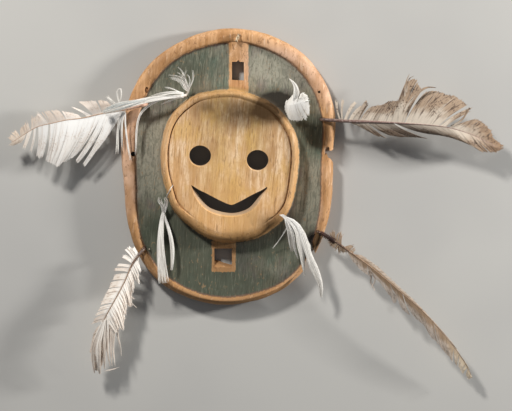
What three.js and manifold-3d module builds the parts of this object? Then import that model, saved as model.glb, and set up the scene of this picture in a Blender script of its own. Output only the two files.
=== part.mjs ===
// A carved wooden mask lying on its back: an upright oval board with a raised rim, a raised round
// face with two eye holes and a crescent mouth, a square hole above and below the face, four large
// feathers whose quills are stuck in the rim, and four small white plumes round the face.
// Millimetres, +Z up (out of the mask's face), +Y towards the mask's top, +X to the viewer's right.
import * as THREE from "three";
import { mergeVertices } from "three/addons/utils/BufferGeometryUtils.js";
import Module from "manifold-3d";

const wasm = await Module();
wasm.setup();

// Outlines, as the distance from the mask's centre at equal steps of angle, anticlockwise from +X
const BOARD = [
  112.5, 114.3, 126.9, 137.9, 146.1, 149.5, 151.1, 149.3, 146, 140.7, 132.2, 123.9,
  118, 116.7, 124.2, 135.1, 145.4, 149, 150, 148.1, 143.9, 135.4, 125.2, 117.3,
];
const RIM_INNER = [
  100.3, 103.4, 113.2, 122.9, 130.5, 134.4, 136.6, 134.7, 132.5, 125.9, 116.8, 108.7,
  104.1, 104.6, 113, 126.4, 136.4, 141.5, 143.2, 141.3, 138.5, 129.1, 115.7, 105.9,
];
const DISC = [
  73.7, 74.9, 77.1, 79.2, 80.4, 81.5, 82.2, 82, 82.4, 83.6, 84, 84.9, 86.7, 86.2, 85.3, 82.9, 79.6, 77,
  75.1, 73.7, 73.2, 74.2, 76.4, 77, 77.6, 79.2, 80.9, 81.7, 81.6, 82, 82.1, 81.4, 80.5, 79, 76.1, 74.1,
];
const STEPS = 64;

// Heights above the surface that the mask lies on
const RIM_CREST = 18;
const RIM_STEP = 2.2;
const GROUND_AT_RIM = 14;
const GROUND_AT_DISC = 11;
const GROUND_SAG = 1.2;
const RING_CREST = 30;
const FACE = 27.2;
const FACE_DISH = 1.2;
const GROOVE = 1.8;
const WALL = 6.5;
const BACK_BAND = 10;
const ABOVE = 60;
const BELOW = -5;

// The ring round the face, as rows of [distance in from its foot, then its height from the crest at the
// sides, at the brow and at the chin]: grooved behind at the sides, a thin lip above, and running into
// the chin below. The brow and the chin are each [angle in degrees, whole within, gone beyond].
const RING = [
  [0, -16, -16, -16],
  [0.6, -6, -6.5, -9.5],
  [1.9, -2.2, -2.8, -6.2],
  [3.8, -0.9, -1.5, -4.4],
  [6.4, -1.6, -2.4, -3.4],
  [7.6, FACE - RING_CREST - GROOVE, -2.8, -3],
  [9, FACE - RING_CREST, -2.8, -2.8],
];
const BROW = [88, 22, 48];
const CHIN = [272, 28, 60];
const CHIN_SPREAD = 0.35;

// Holes in the face and the board
const EYE_WIDTH = 23.4;
const EYE_HEIGHT = 21.8;
const EYE_FLARE = 0.9;
const EYE_SIDES = 22;
const EYES = [[-33.3, 10.3], [29.3, 10.3]];
const MOUTH_UPPER = [
  [-41.4, -20.8], [-28.4, -27.8], [-12, -35.2], [4.5, -39.7], [14, -33.5], [26, -24.5], [43.1, -17.1],
];
const MOUTH_LOWER = [
  [34.6, -29], [27.1, -40.2], [17, -47.6], [5.3, -49.7], [-6.5, -49.4], [-18.8, -45], [-32.7, -33.1],
];
const MOUTH_BEVEL = 2.6;
const MOUTH_POINTS = 14;
const TOP_HOLE = [
  [-6.8, 114.4], [-1.6, 114.9], [-0.2, 117], [1.6, 115.1], [6.2, 115.4], [7.8, 95.2], [-5.3, 94.8],
];
const BOTTOM_HOLE = [[-10.1, -90.3], [9.1, -88.8], [10.7, -109.7], [-8.4, -111.2]];
const BOTTOM_HOLE_BEHIND = [[-10.1, -90.3], [9.1, -88.8], [10.5, -106], [-9.1, -102.5]];
const SIDE_HOLE = { at: [-106.3, 5.9], radius: 2.7, sides: 12 };
const NAIL_HOLE = { at: [90.4, 89.2], radius: 1.3, sides: 8 };

// The broken notch in the right rim and the cracked rim piece at the lower right
const NOTCH = [
  [102, 27.2], [103.4, 29.4], [105.3, 30.8], [106.5, 29.2], [106.6, 26.6], [108.7, 26.3], [123, 39],
  [125, 4], [113.5, 10], [110.9, 14.9], [108.7, 17.5], [106, 18.6], [103.9, 23.1], [102.5, 21.2],
];
const CRACK = [
  [98.4, -65.4], [94.4, -67], [90.4, -71.1], [90.2, -76.1], [92.8, -81.3], [92.3, -87.9], [89.7, -96.9],
  [87, -103.6], [96, -114], [112, -98], [101.5, -89.9], [99.3, -85.2], [96.9, -79.4], [96.2, -73.4],
];

// Feathers
const GAP = 0.3;
const QUILL = 1.9;
const PLUME_QUILL = 0.9;
const SHAFT_TAPER = 0.7;
const SHAFT_FLAT = 0.55;
const VANE_EDGE = 0.8;
const BARE = 0.12;
const BARE_ROWS = 7;
const CLEAR_OF_BOARD = 0.2;
const LEAN = [0.9, 0.5];
const DROOP = 0.1;

const WOOD = { color: 0x8d8770, roughness: 0.75 };
const WHITE = { color: 0xe6ded3, roughness: 0.85 };
const MOTTLED = { color: 0xb9a590, roughness: 0.85 };
const DARK_CORD = { color: 0x3a241a, roughness: 0.7 };
const LIGHT_CORD = { color: 0xcdb48c, roughness: 0.7 };
const PLUG_BROWN = { color: 0x7a5128, roughness: 0.7 };

// The large feathers. The first points of a shaft are in its hole and over the rim. A row of the vane
// is [share of the length, width on the right, width on the left, and lean where it isn't the usual].
const LARGE = {
  feather_upper_left: {
    look: WHITE,
    shaft: [
      [-95.6, 61, 6], [-95.8, 61, 13], [-98.2, 60.2, 18.6], [-104, 58.6, 20.6], [-118, 54, 21.6],
      [-146, 46.6, 24], [-164, 41, 28], [-181, 37.6, 31], [-196, 33, 31], [-212, 27.6, 28],
      [-226, 18, 24], [-239, 8, 21],
    ],
    lean: [0.9, 0.6],
    vane: [
      [0.12, 0, 0], [0.24, 0, 3], [0.28, 4, 55], [0.33, 12, 54], [0.34, 14, 1], [0.36, 15, 50],
      [0.42, 16, 49], [0.47, 16.5, 48], [0.5, 17, 47], [0.51, 1, 46.5], [0.525, 13, 46], [0.56, 12, 44],
      [0.61, 12.5, 41], [0.66, 13, 37], [0.7, 12.5, 34], [0.715, 11, 1], [0.73, 10, 32], [0.77, 8, 28],
      [0.78, 7, 1], [0.8, 6, 18], [0.84, 8, 13], [0.88, 7, 9], [0.93, 8, 7], [0.97, 6, 5], [1, 0.5, 0.5],
    ],
  },
  feather_upper_right: {
    look: MOTTLED,
    shaft: [
      [94.7, 59.4, 6], [94.9, 59.4, 13], [97.4, 59.5, 18.6], [103, 59.7, 20.6], [121, 60, 22.5],
      [154, 61.8, 27], [181.4, 62.6, 31], [214, 63, 33], [236, 61.6, 32], [258, 56.7, 28],
      [275, 50.5, 24], [292, 42.4, 20],
    ],
    vane: [
      [0.12, 0, 0], [0.145, 0, 21, [0, -0.1]], [0.165, 0, 20, [0, 0]], [0.18, 1, 6, [0, 0]],
      [0.19, 2, 19, [0.9, 0.45]], [0.205, 3, 5, [0.9, 0.4]], [0.225, 5, 14, [0.9, 0.3]],
      [0.25, 7, 21, [0.9, 0.35]], [0.275, 9, 17, [0.9, 0.4]], [0.3, 11, 18], [0.35, 14, 19], [0.4, 15, 25],
      [0.415, 15, 48, [0.9, 0.3]], [0.445, 14.5, 43], [0.47, 14, 40], [0.48, 14, 1], [0.495, 13.5, 33],
      [0.53, 13, 37], [0.59, 12, 37], [0.65, 10, 35], [0.7, 8, 28], [0.725, 9, 22], [0.735, 9.5, 1],
      [0.76, 10, 8], [0.82, 11.5, 14], [0.87, 12, 13], [0.92, 11, 10], [0.96, 8, 7], [1, 0.5, 0.5],
    ],
  },
  feather_lower_left: {
    look: WHITE,
    shaft: [
      [-85.8, -94.7, 6], [-86, -95, 13], [-87.4, -97.2, 18.6], [-91, -102.6, 20.6], [-97.6, -113.4, 22],
      [-104.4, -132.6, 25], [-111.6, -149.6, 28], [-118.4, -164.2, 30], [-124.2, -177.6, 29],
      [-127.8, -188.8, 27], [-129.8, -205.2, 24], [-128.4, -221.4, 21], [-124.6, -235.4, 18],
    ],
    lean: [0.4, 1],
    vane: [
      [0.12, 0, 0], [0.13, 12, 2, [-0.5, 0.7]], [0.15, 15, 14, [-0.35, 0.75]], [0.17, 17, 16, [-0.1, 0.8]],
      [0.185, 17, 17, [0.1, 0.85]], [0.2, 8, 17, [0.3, 0.9]], [0.215, 14, 17.5, [0.5, 0.95]], [0.24, 15, 18],
      [0.3, 15, 17, [0.4, 1.2]], [0.36, 14, 16, [0.4, 1.5]], [0.42, 13, 16, [0.4, 1.5]],
      [0.48, 12, 18, [0.4, 1.2]], [0.53, 11, 20, [0.4, 1.05]], [0.535, 1, 20], [0.55, 11, 22],
      [0.6, 10.5, 25, [0.4, 0.9]], [0.64, 10, 27, [0.4, 0.8]], [0.65, 2, 27, [0.4, 0.8]],
      [0.69, 8, 27, [0.4, 0.75]], [0.74, 8, 24, [0.4, 0.7]], [0.8, 7, 19, [0.4, 0.8]],
      [0.86, 6, 14, [0.4, 0.9]], [0.93, 5, 9, [0.4, 0.6]], [1, 1, 3, [0.4, 0.4]],
    ],
  },
  feather_lower_right: {
    look: MOTTLED,
    quill: 1.5,
    shaft: [
      [100.2, -62, 6], [100.4, -62.1, 13], [103, -63.4, 18.8], [108.6, -66, 20.8], [120.5, -71.5, 22],
      [134.3, -79.7, 24], [160.7, -95.7, 28], [195.5, -120.3, 31], [224.6, -142.1, 30],
      [248.2, -164.8, 26], [266.2, -184.8, 22], [276, -198.2, 19], [281.2, -207.7, 17],
    ],
    lean: [1.1, 1.2],
    droop: 0.5,
    vane: [
      [0.12, 0, 0], [0.14, 6, 7, [0, -0.6]], [0.155, 6.5, 9, [0.2, 0.1]], [0.17, 6, 3, [0.4, 0.4]],
      [0.21, 4, 2], [0.24, 4, 3], [0.3, 6.5, 4], [0.32, 7, 4], [0.33, 17, 4, [0.83, 1.2]], [0.34, 7, 4],
      [0.42, 8, 4.3], [0.43, 13, 4.2, [1.4, 1.2]], [0.44, 9, 4], [0.5, 9.5, 3.7], [0.51, 3, 3.6],
      [0.53, 9, 3.5], [0.58, 9.5, 3.2], [0.63, 9, 2.8], [0.7, 10, 2.5], [0.77, 11.5, 2.3], [0.84, 11, 2.2],
      [0.9, 9, 2], [0.95, 6, 1.8], [1, 0.5, 0.5],
    ],
  },
};

// The small white plumes: narrow strips and one cupped tuft, from a root in the ground or in the ring
const SMALL = {
  small_feather_upper_left: {
    look: WHITE,
    shaft: [
      [-54.8, 74.6, 5], [-54.8, 74.6, 13], [-58, 74.2, 21], [-72, 72.6, 26], [-92, 67.6, 28],
      [-112, 61, 29], [-128, 55, 30], [-143, 47.6, 31],
    ],
    lean: [0.9, 0.9],
    vane: [
      [0.12, 1.2, 1.2], [0.2, 1.8, 1.8], [0.3, 2, 2.2], [0.45, 2.2, 3], [0.6, 3, 3],
      [0.75, 4, 3], [0.88, 4.6, 3.4], [1, 1, 1],
    ],
  },
  small_feather_upper_right: {
    look: WHITE,
    shaft: [
      [54.8, 71.8, 5], [54.8, 71.8, 13], [55.2, 71.9, 27], [57.4, 72.4, 39], [62.5, 73.6, 45.5],
      [68.5, 75.8, 48.4], [74, 78, 49.6],
    ],
    lean: [0.1, 0.1],
    droop: 0.12,
    vane: [
      [0.2, 0, 0], [0.25, 5, 6], [0.42, 9, 10], [0.5, 13, 27], [0.6, 16, 30], [0.7, 17.5, 27],
      [0.8, 18.5, 21], [0.87, 19, 11], [0.92, 18.5, 12], [0.96, 15, 11], [1, 8, 6],
    ],
  },
  small_feather_lower_left: {
    look: WHITE,
    shaft: [
      [-66, -48.4, 5], [-66, -48.4, 12], [-66.6, -52, 17], [-67.6, -59, 19], [-67.6, -72, 20],
      [-66.1, -85, 20.5], [-63.9, -101, 21.5], [-62, -115.4, 22.5], [-60.6, -129, 23],
    ],
    lean: [0.6, 0.3],
    vane: [
      [0.12, 1.6, 1.6], [0.2, 2.4, 2], [0.3, 3.6, 3.4], [0.4, 4.4, 7], [0.5, 4.6, 10], [0.6, 4.8, 11],
      [0.7, 5, 10], [0.78, 5.4, 6], [0.8, 5.6, 3.6], [0.88, 6.2, 4], [1, 6, 4.4],
    ],
  },
  small_feather_lower_right: {
    look: WHITE,
    shaft: [
      [56.8, -47, 24], [57.2, -47.2, 30], [61.5, -47.4, 32.6], [67.4, -50.5, 32], [75.9, -60.8, 30],
      [86, -77.5, 28], [94.8, -92.1, 26.5], [102.4, -105.7, 25], [108.5, -120.6, 22.5], [110.6, -133.5, 20],
    ],
    lean: [0.9, 0.9],
    vane: [
      [0.12, 0, 0], [0.16, 3, 2.5], [0.22, 6, 4.5], [0.28, 7, 5], [0.36, 10, 5.4], [0.44, 13, 5.8],
      [0.5, 13, 5.6], [0.52, 6, 5.4], [0.58, 6, 5], [0.64, 5, 4], [0.74, 3.6, 2.6], [0.84, 2.6, 1.6],
      [0.93, 2, 1.4], [1, 0.8, 0.8],
    ],
  },
};

// The peg beside the lower left quill, the plug in the upper left of the rim, the lashing round the
// lower right quill and the twisted tie at the top of the rim
const PEG = { at: [-80.6, -96.2], radius: 0.9, tip: 0.7, top: 17, bottom: 8, sides: 8 };
const PLUG = { at: [-96.9, 76.6], width: 3.2, height: 6.2, top: 16.4, bottom: 5, sides: 12 };
const LASHING_SPAN = [0.05, 0.12];
const LASHING_WALL = 0.9;
const LASHING_STEPS = 6;
const TIE = { at: [-2.6, 141], length: 8.6, width: 4.6, height: 2.6, slant: 2.4, rows: 9, sides: 8 };

const mask = new THREE.Group();

// Smooth reading of a list of equally spaced radii at any angle
function around(radii, angle) {
  const place = ((angle / (2 * Math.PI)) * radii.length + radii.length) % radii.length;
  const whole = Math.floor(place);
  const f = place - whole;
  const [a, b, c, d] = [-1, 0, 1, 2].map((k) => radii[(whole + k + radii.length) % radii.length]);
  return b + 0.5 * f * (c - a + f * (2 * a - 5 * b + 4 * c - d + f * (3 * (b - c) + d - a)));
}

// One at a middle angle, falling smoothly to nought further round
function nearAngle(angle, [middle, full, gone]) {
  const turn = THREE.MathUtils.radToDeg(angle) - middle + 180;
  const away = Math.abs(THREE.MathUtils.euclideanModulo(turn, 360) - 180);
  return 1 - THREE.MathUtils.smoothstep(away, full, gone);
}

function ringSection(angle, disc) {
  const brow = nearAngle(angle, BROW);
  const chin = nearAngle(angle, CHIN);
  return RING.map(([away, atSide, atBrow, atChin]) => [
    disc - away * (1 + CHIN_SPREAD * chin),
    RING_CREST + (1 - brow - chin) * atSide + brow * atBrow + chin * atChin,
  ]);
}

// The closed section of the board at one angle, from the middle of the back to the middle of the front,
// as points [distance from the centre, height]
function boardSection(angle) {
  const board = around(BOARD, angle);
  const rim = around(RIM_INNER, angle);
  const disc = around(DISC, angle);
  const ring = ringSection(angle, disc);
  const foot = disc + 1.5;
  const ground = (f) => [
    THREE.MathUtils.lerp(rim - 1, foot, f),
    THREE.MathUtils.lerp(GROUND_AT_RIM, GROUND_AT_DISC, f) - GROUND_SAG * 4 * f * (1 - f),
  ];
  const crest = (board - 1.5 + rim) / 2;
  const face = ring.at(-1)[0];
  const behind = GROUND_AT_DISC - WALL;
  return [
    [0, FACE - FACE_DISH - WALL],
    [face * 0.6, FACE - FACE_DISH - WALL],
    [disc - 11, FACE - WALL - 1.5],
    [disc - 8.5, FACE - WALL - 5],
    [disc - 7, behind + 3],
    [disc - 5.5, behind],
    [(disc + board) / 2 - 8, behind + 0.4],
    [board - 7 - BACK_BAND, behind + 0.8],
    [board - 3 - BACK_BAND, 0],
    [board - 3, 0],
    [board - 0.8, 3.2],
    [board, 8.5],
    [board - 1.2, 14],
    [board - 3.6, 17],
    [crest, RIM_CREST],
    [rim + 1, RIM_CREST - 0.7],
    [rim, RIM_CREST - RIM_STEP],
    ground(0),
    ground(0.35),
    ground(0.7),
    ground(1),
    ...ring,
    [face * 0.6, FACE - FACE_DISH * 0.7],
    [0, FACE - FACE_DISH],
  ];
}

// A closed body whose section turns about Z while its shape changes with the angle
function turnedBody(sectionAt, steps) {
  const angleOf = (j) => (j / steps) * 2 * Math.PI;
  const sections = Array.from({ length: steps }, (_, j) => sectionAt(angleOf(j)));
  const rows = sections[0].length;
  const positions = [];
  sections.forEach((section, j) => {
    section.slice(1, -1).forEach(([r, z]) => {
      positions.push(r * Math.cos(angleOf(j)), r * Math.sin(angleOf(j)), z);
    });
  });
  const across = rows - 2;
  const back = steps * across;
  const front = back + 1;
  positions.push(0, 0, sections[0][0][1], 0, 0, sections[0][rows - 1][1]);
  const index = [];
  for (let j = 0; j < steps; j += 1) {
    const here = j * across;
    const next = ((j + 1) % steps) * across;
    for (let i = 0; i < across - 1; i += 1) {
      index.push(here + i, next + i, here + i + 1);
      index.push(here + i + 1, next + i, next + i + 1);
    }
    index.push(back, next, here);
    index.push(front, here + across - 1, next + across - 1);
  }
  const geometry = new THREE.BufferGeometry();
  geometry.setAttribute("position", new THREE.Float32BufferAttribute(positions, 3));
  geometry.setIndex(index);
  return geometry;
}

// A closed body through matching closed loops of points, each end loop flat enough to be capped
function throughLoops(loops) {
  const count = loops[0].length;
  const positions = loops.flat().flatMap((p) => [p.x, p.y, p.z]);
  const index = [];
  for (let k = 0; k < loops.length - 1; k += 1) {
    for (let i = 0; i < count; i += 1) {
      const a = k * count + i;
      const b = k * count + ((i + 1) % count);
      index.push(a, b, a + count, b, b + count, a + count);
    }
  }
  const cap = (loop, first, flip) => {
    const normal = new THREE.Vector3();
    loop.forEach((p, i) => normal.add(p.clone().cross(loop[(i + 1) % count])));
    normal.normalize();
    const axis = Math.abs(normal.x) < 0.8 ? new THREE.Vector3(1, 0, 0) : new THREE.Vector3(0, 1, 0);
    const across = axis.cross(normal).normalize();
    const up = normal.clone().cross(across);
    const flat = loop.map((p) => new THREE.Vector2(p.dot(across), p.dot(up)));
    THREE.ShapeUtils.triangulateShape(flat, []).forEach(([a, b, c]) => {
      index.push(first + a, first + (flip ? c : b), first + (flip ? b : c));
    });
  };
  cap(loops[0], 0, true);
  cap(loops.at(-1), (loops.length - 1) * count, false);
  const geometry = new THREE.BufferGeometry();
  geometry.setAttribute("position", new THREE.Float32BufferAttribute(positions, 3));
  geometry.setIndex(index);
  return geometry;
}

// A post whose outline changes with height: levels are [z, points]
function post(levels) {
  const turn = THREE.ShapeUtils.area(levels[0][1].map(([x, y]) => new THREE.Vector2(x, y))) < 0;
  return throughLoops(levels.map(([z, points]) => {
    const loop = points.map(([x, y]) => new THREE.Vector3(x, y, z));
    return turn ? loop.reverse() : loop;
  }));
}

// A post with one outline all the way up
function straightPost(points, bottom, top) {
  return post([[bottom, points], [top, points]]);
}

function oval([x, y], width, height, sides) {
  return Array.from({ length: sides }, (_, i) => {
    const angle = (i / sides) * 2 * Math.PI;
    return [x + (width / 2) * Math.cos(angle), y + (height / 2) * Math.sin(angle)];
  });
}

function roundHole({ at, radius, sides }, bottom) {
  return straightPost(oval(at, 2 * radius, 2 * radius, sides), bottom, ABOVE);
}

function solid(geometry) {
  const bare = geometry.clone();
  bare.deleteAttribute("normal");
  bare.deleteAttribute("uv");
  const merged = mergeVertices(bare, 1e-5);
  return new wasm.Manifold(new wasm.Mesh({
    numProp: 3,
    vertProperties: new Float32Array(merged.attributes.position.array),
    triVerts: new Uint32Array(merged.index.array),
  }));
}

function geometryOf(manifold) {
  const made = manifold.getMesh();
  const geometry = new THREE.BufferGeometry();
  geometry.setAttribute("position", new THREE.BufferAttribute(made.vertProperties, 3));
  geometry.setIndex(new THREE.BufferAttribute(made.triVerts, 1));
  return geometry;
}

function add(name, geometry, look) {
  const material = new THREE.MeshStandardMaterial({ metalness: 0, ...look });
  const mesh = new THREE.Mesh(geometry, material);
  mesh.name = name;
  mask.add(mesh);
}

function shaftCurve(shaft) {
  return new THREE.CatmullRomCurve3(shaft.map((p) => new THREE.Vector3(...p)), false, "centripetal");
}

// A feather: a quill that comes up out of its hole, a shaft along the points, and a thin vane on both
// sides, right and left as seen from above and looking towards the tip. The barbs lean towards the tip
// by the lean of their side, and hang below the shaft by the droop.
function feather({ shaft, vane, quill, lean, droop }) {
  const curve = shaftCurve(shaft);
  const heading = curve.getPoint(1).sub(curve.getPoint(0)).setZ(0).normalize();
  const lift = new THREE.Vector3(0, 0, 1).sub(heading);
  return throughLoops(vane.map(([u, right, left, rowLean = lean]) => {
    const centre = curve.getPointAt(u);
    const along = curve.getTangentAt(u);
    const side = along.clone().cross(lift).normalize();
    const up = side.clone().cross(along);
    const r = quill * (1 - SHAFT_TAPER * u);
    const at = (across, height, forward) => centre.clone()
      .addScaledVector(side, across).addScaledVector(up, height).addScaledVector(along, forward);
    const edge = (sign, width, leaning, level) => (width < r
      ? at(sign * r, 0.5 * r * level, 0)
      : at(sign * width, 0.5 * VANE_EDGE * level - droop * width, width * leaning));
    return [
      edge(1, right, rowLean[0], 1),
      edge(1, right, rowLean[0], -1),
      at(r * SHAFT_FLAT, -r, 0),
      at(-r * SHAFT_FLAT, -r, 0),
      edge(-1, left, rowLean[1], -1),
      edge(-1, left, rowLean[1], 1),
      at(-r * SHAFT_FLAT, r, 0),
      at(r * SHAFT_FLAT, r, 0),
    ];
  }));
}

// Every feather gets the values that it doesn't state, and the rows of its bare root before its vane
function complete(shapes, quill) {
  const root = Array.from({ length: BARE_ROWS }, (_, i) => [(BARE * i) / BARE_ROWS, 0, 0]);
  return Object.entries(shapes).map(([name, shape]) => ({
    name, quill, lean: LEAN, droop: DROOP, ...shape, vane: [...root, ...shape.vane],
  }));
}

const feathers = [...complete(LARGE, QUILL), ...complete(SMALL, PLUME_QUILL)];
const lashed = feathers.find(({ name }) => name === "feather_lower_right");
const lashingInner = lashed.quill * 1.16 + GAP;
const lashingRoom = 1.22 * (lashingInner + LASHING_WALL + GAP);

// The mouth's outline, its lower edge moved down by the bevel
function mouthLoop(bevel) {
  const through = (points) => new THREE.SplineCurve(points.map(([x, y]) => new THREE.Vector2(x, y)))
    .getPoints(MOUTH_POINTS);
  const upper = through(MOUTH_UPPER);
  const lower = through([MOUTH_UPPER.at(-1), ...MOUTH_LOWER, MOUTH_UPPER[0]]).slice(1, -1);
  const drop = (i) => bevel * Math.sin((i / MOUTH_POINTS) * Math.PI);
  return [...upper.map((p) => [p.x, p.y]), ...lower.map((p, i) => [p.x, p.y - drop(i + 1)])];
}

// The room that a quill needs, from its hole to where it leaves the rim
function quillCut({ shaft, lean, droop }, from, radius) {
  const count = 10;
  const share = (i) => THREE.MathUtils.lerp(from, CLEAR_OF_BOARD, i / (count - 1));
  const rows = Array.from({ length: count }, (_, i) => [share(i), 0, 0]);
  const below = [shaft[0][0], shaft[0][1], shaft[0][2] - GAP];
  return feather({ shaft: [below, ...shaft.slice(1)], vane: rows, quill: radius, lean, droop });
}

// An eye hole whose front edge is a little wider and lower
function eyeHole(at) {
  const lower = [at[0], at[1] - EYE_FLARE / 2];
  const inside = oval(at, EYE_WIDTH, EYE_HEIGHT, EYE_SIDES);
  const flared = oval(lower, EYE_WIDTH + EYE_FLARE, EYE_HEIGHT + EYE_FLARE, EYE_SIDES);
  return post([[BELOW, inside], [FACE - 3.5, inside], [FACE, flared], [ABOVE, flared]]);
}

function carvedMask() {
  const mouth = mouthLoop(0);
  const mouthFront = mouthLoop(MOUTH_BEVEL);
  const plugHole = oval(PLUG.at, PLUG.width + 2 * GAP, PLUG.height + 2 * GAP, PLUG.sides);
  const cuts = [
    ...EYES.map(eyeHole),
    post([[BELOW, mouth], [FACE - 4, mouth], [FACE, mouthFront], [ABOVE, mouthFront]]),
    straightPost(TOP_HOLE, BELOW, ABOVE),
    post([[BELOW, BOTTOM_HOLE_BEHIND], [4, BOTTOM_HOLE_BEHIND], [12.5, BOTTOM_HOLE], [ABOVE, BOTTOM_HOLE]]),
    roundHole(SIDE_HOLE, BELOW),
    roundHole(NAIL_HOLE, BELOW),
    straightPost(NOTCH, BELOW, ABOVE),
    straightPost(CRACK, BELOW, ABOVE),
    straightPost(plugHole, PLUG.bottom - GAP, ABOVE),
    roundHole({ ...PEG, radius: PEG.radius + GAP }, PEG.bottom - GAP),
    ...feathers.map((shape) => quillCut(shape, 0, shape.quill + GAP)),
    quillCut(lashed, LASHING_SPAN[0] - 0.01, lashingRoom),
  ];
  return cuts.reduce((body, cut) => body.subtract(solid(cut)), solid(turnedBody(boardSection, STEPS)));
}

// A hollow sleeve of cord round the first stretch of the lower right quill
function lashing() {
  const curve = shaftCurve(lashed.shaft);
  const section = new THREE.Shape().absarc(0, 0, lashingInner + LASHING_WALL, 0, 2 * Math.PI);
  section.holes.push(new THREE.Path().absarc(0, 0, lashingInner, 0, 2 * Math.PI));
  const points = [0, 0.25, 0.5, 0.75, 1].map((f) => {
    return curve.getPointAt(THREE.MathUtils.lerp(...LASHING_SPAN, f));
  });
  return new THREE.ExtrudeGeometry(section, {
    extrudePath: new THREE.CatmullRomCurve3(points),
    steps: LASHING_STEPS,
    curveSegments: 4,
    bevelEnabled: false,
  });
}

// A short two-strand twist lying along the rim's crest
function tie() {
  const middle = RIM_CREST + GAP + 0.6 * TIE.height;
  return throughLoops(Array.from({ length: TIE.rows }, (_, k) => {
    const f = k / (TIE.rows - 1);
    const swell = Math.sin(Math.PI * (0.12 + 0.76 * f));
    return Array.from({ length: TIE.sides }, (_unused, i) => {
      const angle = (i / TIE.sides) * 2 * Math.PI;
      const reach = 0.5 * swell * (0.75 + 0.25 * Math.cos(2 * (angle - f * Math.PI)));
      return new THREE.Vector3(
        TIE.at[0] + (f - 0.5) * TIE.slant + TIE.width * reach * Math.cos(angle),
        TIE.at[1] + (f - 0.5) * TIE.length,
        middle + TIE.height * reach * Math.sin(angle),
      );
    }).reverse();
  }));
}

add("mask", geometryOf(carvedMask()), WOOD);
feathers.forEach((shape) => add(shape.name, feather(shape), shape.look));
add("lashing_lower_right", lashing(), DARK_CORD);
add("top_tie", tie(), LIGHT_CORD);
add("peg_lower_left", post([
  [PEG.bottom, oval(PEG.at, 2 * PEG.radius, 2 * PEG.radius, PEG.sides)],
  [PEG.top, oval(PEG.at, 2 * PEG.radius * PEG.tip, 2 * PEG.radius * PEG.tip, PEG.sides)],
]), WHITE);
add(
  "plug_upper_left",
  straightPost(oval(PLUG.at, PLUG.width, PLUG.height, PLUG.sides), PLUG.bottom, PLUG.top),
  PLUG_BROWN,
);

// The origin is under the middle of the whole object, on the surface that it lies on
mask.updateMatrixWorld(true);
const box = new THREE.Box3().setFromObject(mask, true);
const middle = box.getCenter(new THREE.Vector3());
mask.position.set(-middle.x, -middle.y, -box.min.z);

export default mask;
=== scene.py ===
# A carved and painted wooden mask with feathers, lying on its back on a pale floor.
import math
import random

import bmesh
import bpy
from mathutils import Matrix, Vector, noise


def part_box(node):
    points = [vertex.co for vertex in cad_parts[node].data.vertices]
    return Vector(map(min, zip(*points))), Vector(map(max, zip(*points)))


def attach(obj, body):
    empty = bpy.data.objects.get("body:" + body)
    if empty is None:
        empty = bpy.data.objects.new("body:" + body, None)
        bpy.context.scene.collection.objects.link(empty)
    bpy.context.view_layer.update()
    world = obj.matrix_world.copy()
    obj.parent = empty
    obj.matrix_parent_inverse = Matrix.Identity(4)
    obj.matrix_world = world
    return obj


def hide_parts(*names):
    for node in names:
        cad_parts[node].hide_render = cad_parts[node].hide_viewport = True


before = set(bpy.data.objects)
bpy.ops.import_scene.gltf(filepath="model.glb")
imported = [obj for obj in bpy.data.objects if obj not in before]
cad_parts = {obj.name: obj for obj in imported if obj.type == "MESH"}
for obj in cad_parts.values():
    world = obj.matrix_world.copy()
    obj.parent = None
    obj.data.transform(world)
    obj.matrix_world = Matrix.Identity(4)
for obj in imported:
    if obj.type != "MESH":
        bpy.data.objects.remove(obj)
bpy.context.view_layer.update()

# ---- Places. Sizes are in millimetres about the mask's middle until a mesh is made ----

MILLIMETRE = 0.001
# From the lower left corner of the mask's box to its middle, in metres
TO_MIDDLE = (0.1198, 0.15)
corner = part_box("mask")[0]
MIDDLE = Vector((corner.x + TO_MIDDLE[0], corner.y + TO_MIDDLE[1], 0))
TURN = math.radians(4.5)
# The photo's pixel at the mask's middle, and the size of one pixel
MIDDLE_PX, MIDDLE_PY, PIXEL = 230, 167, 1.0909


def metres(point):
    return Vector(point) * MILLIMETRE + MIDDLE


def spot(px, py):
    """The place on the mask's plan that the photo shows at this pixel."""
    u = (px - MIDDLE_PX) * PIXEL
    v = (MIDDLE_PY - py) * PIXEL
    return (u * math.cos(TURN) - v * math.sin(TURN), u * math.sin(TURN) + v * math.cos(TURN))


def mix(a, b, f):
    return a + (b - a) * f


def step_up(low_end, high_end, value):
    """Nought below the low end, one above the high end and a smooth rise between."""
    f = min(1, max(0, (value - low_end) / (high_end - low_end)))
    return f * f * (3 - 2 * f)


def select_only(piece):
    bpy.ops.object.select_all(action="DESELECT")
    piece.select_set(True)
    bpy.context.view_layer.objects.active = piece


def smooth(piece, degrees):
    """Smooth shading, with edges sharper than this angle left crisp."""
    select_only(piece)
    bpy.ops.object.shade_smooth_by_angle(angle=math.radians(degrees))


def close_up(gap):
    """Merge the active piece's doubles and turn its faces outwards."""
    bpy.ops.object.mode_set(mode="EDIT")
    bpy.ops.mesh.select_all(action="SELECT")
    bpy.ops.mesh.remove_doubles(threshold=gap)
    bpy.ops.mesh.normals_make_consistent(inside=False)
    bpy.ops.object.mode_set(mode="OBJECT")


def to_place(piece):
    for v in piece.data.vertices:
        v.co = metres(v.co)


def write_values(mesh, layers):
    """Numbers for each point of a mesh, which its material reads by name."""
    for name, numbers in layers.items():
        mesh.attributes.new(name, "FLOAT", "POINT").data.foreach_set("value", numbers)


def way_at(line, k):
    """The way that a line runs at one of its points."""
    return (line[min(k + 1, len(line) - 1)] - line[max(k - 1, 0)]).normalized()


def finish_piece(piece, name, material, slot, *nodes):
    """Name and material of a piece, and the nodes of the solid part that it stands for. The slot is not
    used.
    """
    piece.name = name
    piece.data.name = name
    piece.data.materials.clear()
    piece.data.materials.append(material)
    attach(piece, "root")
    if nodes:
        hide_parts(*nodes)
    return piece


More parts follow.
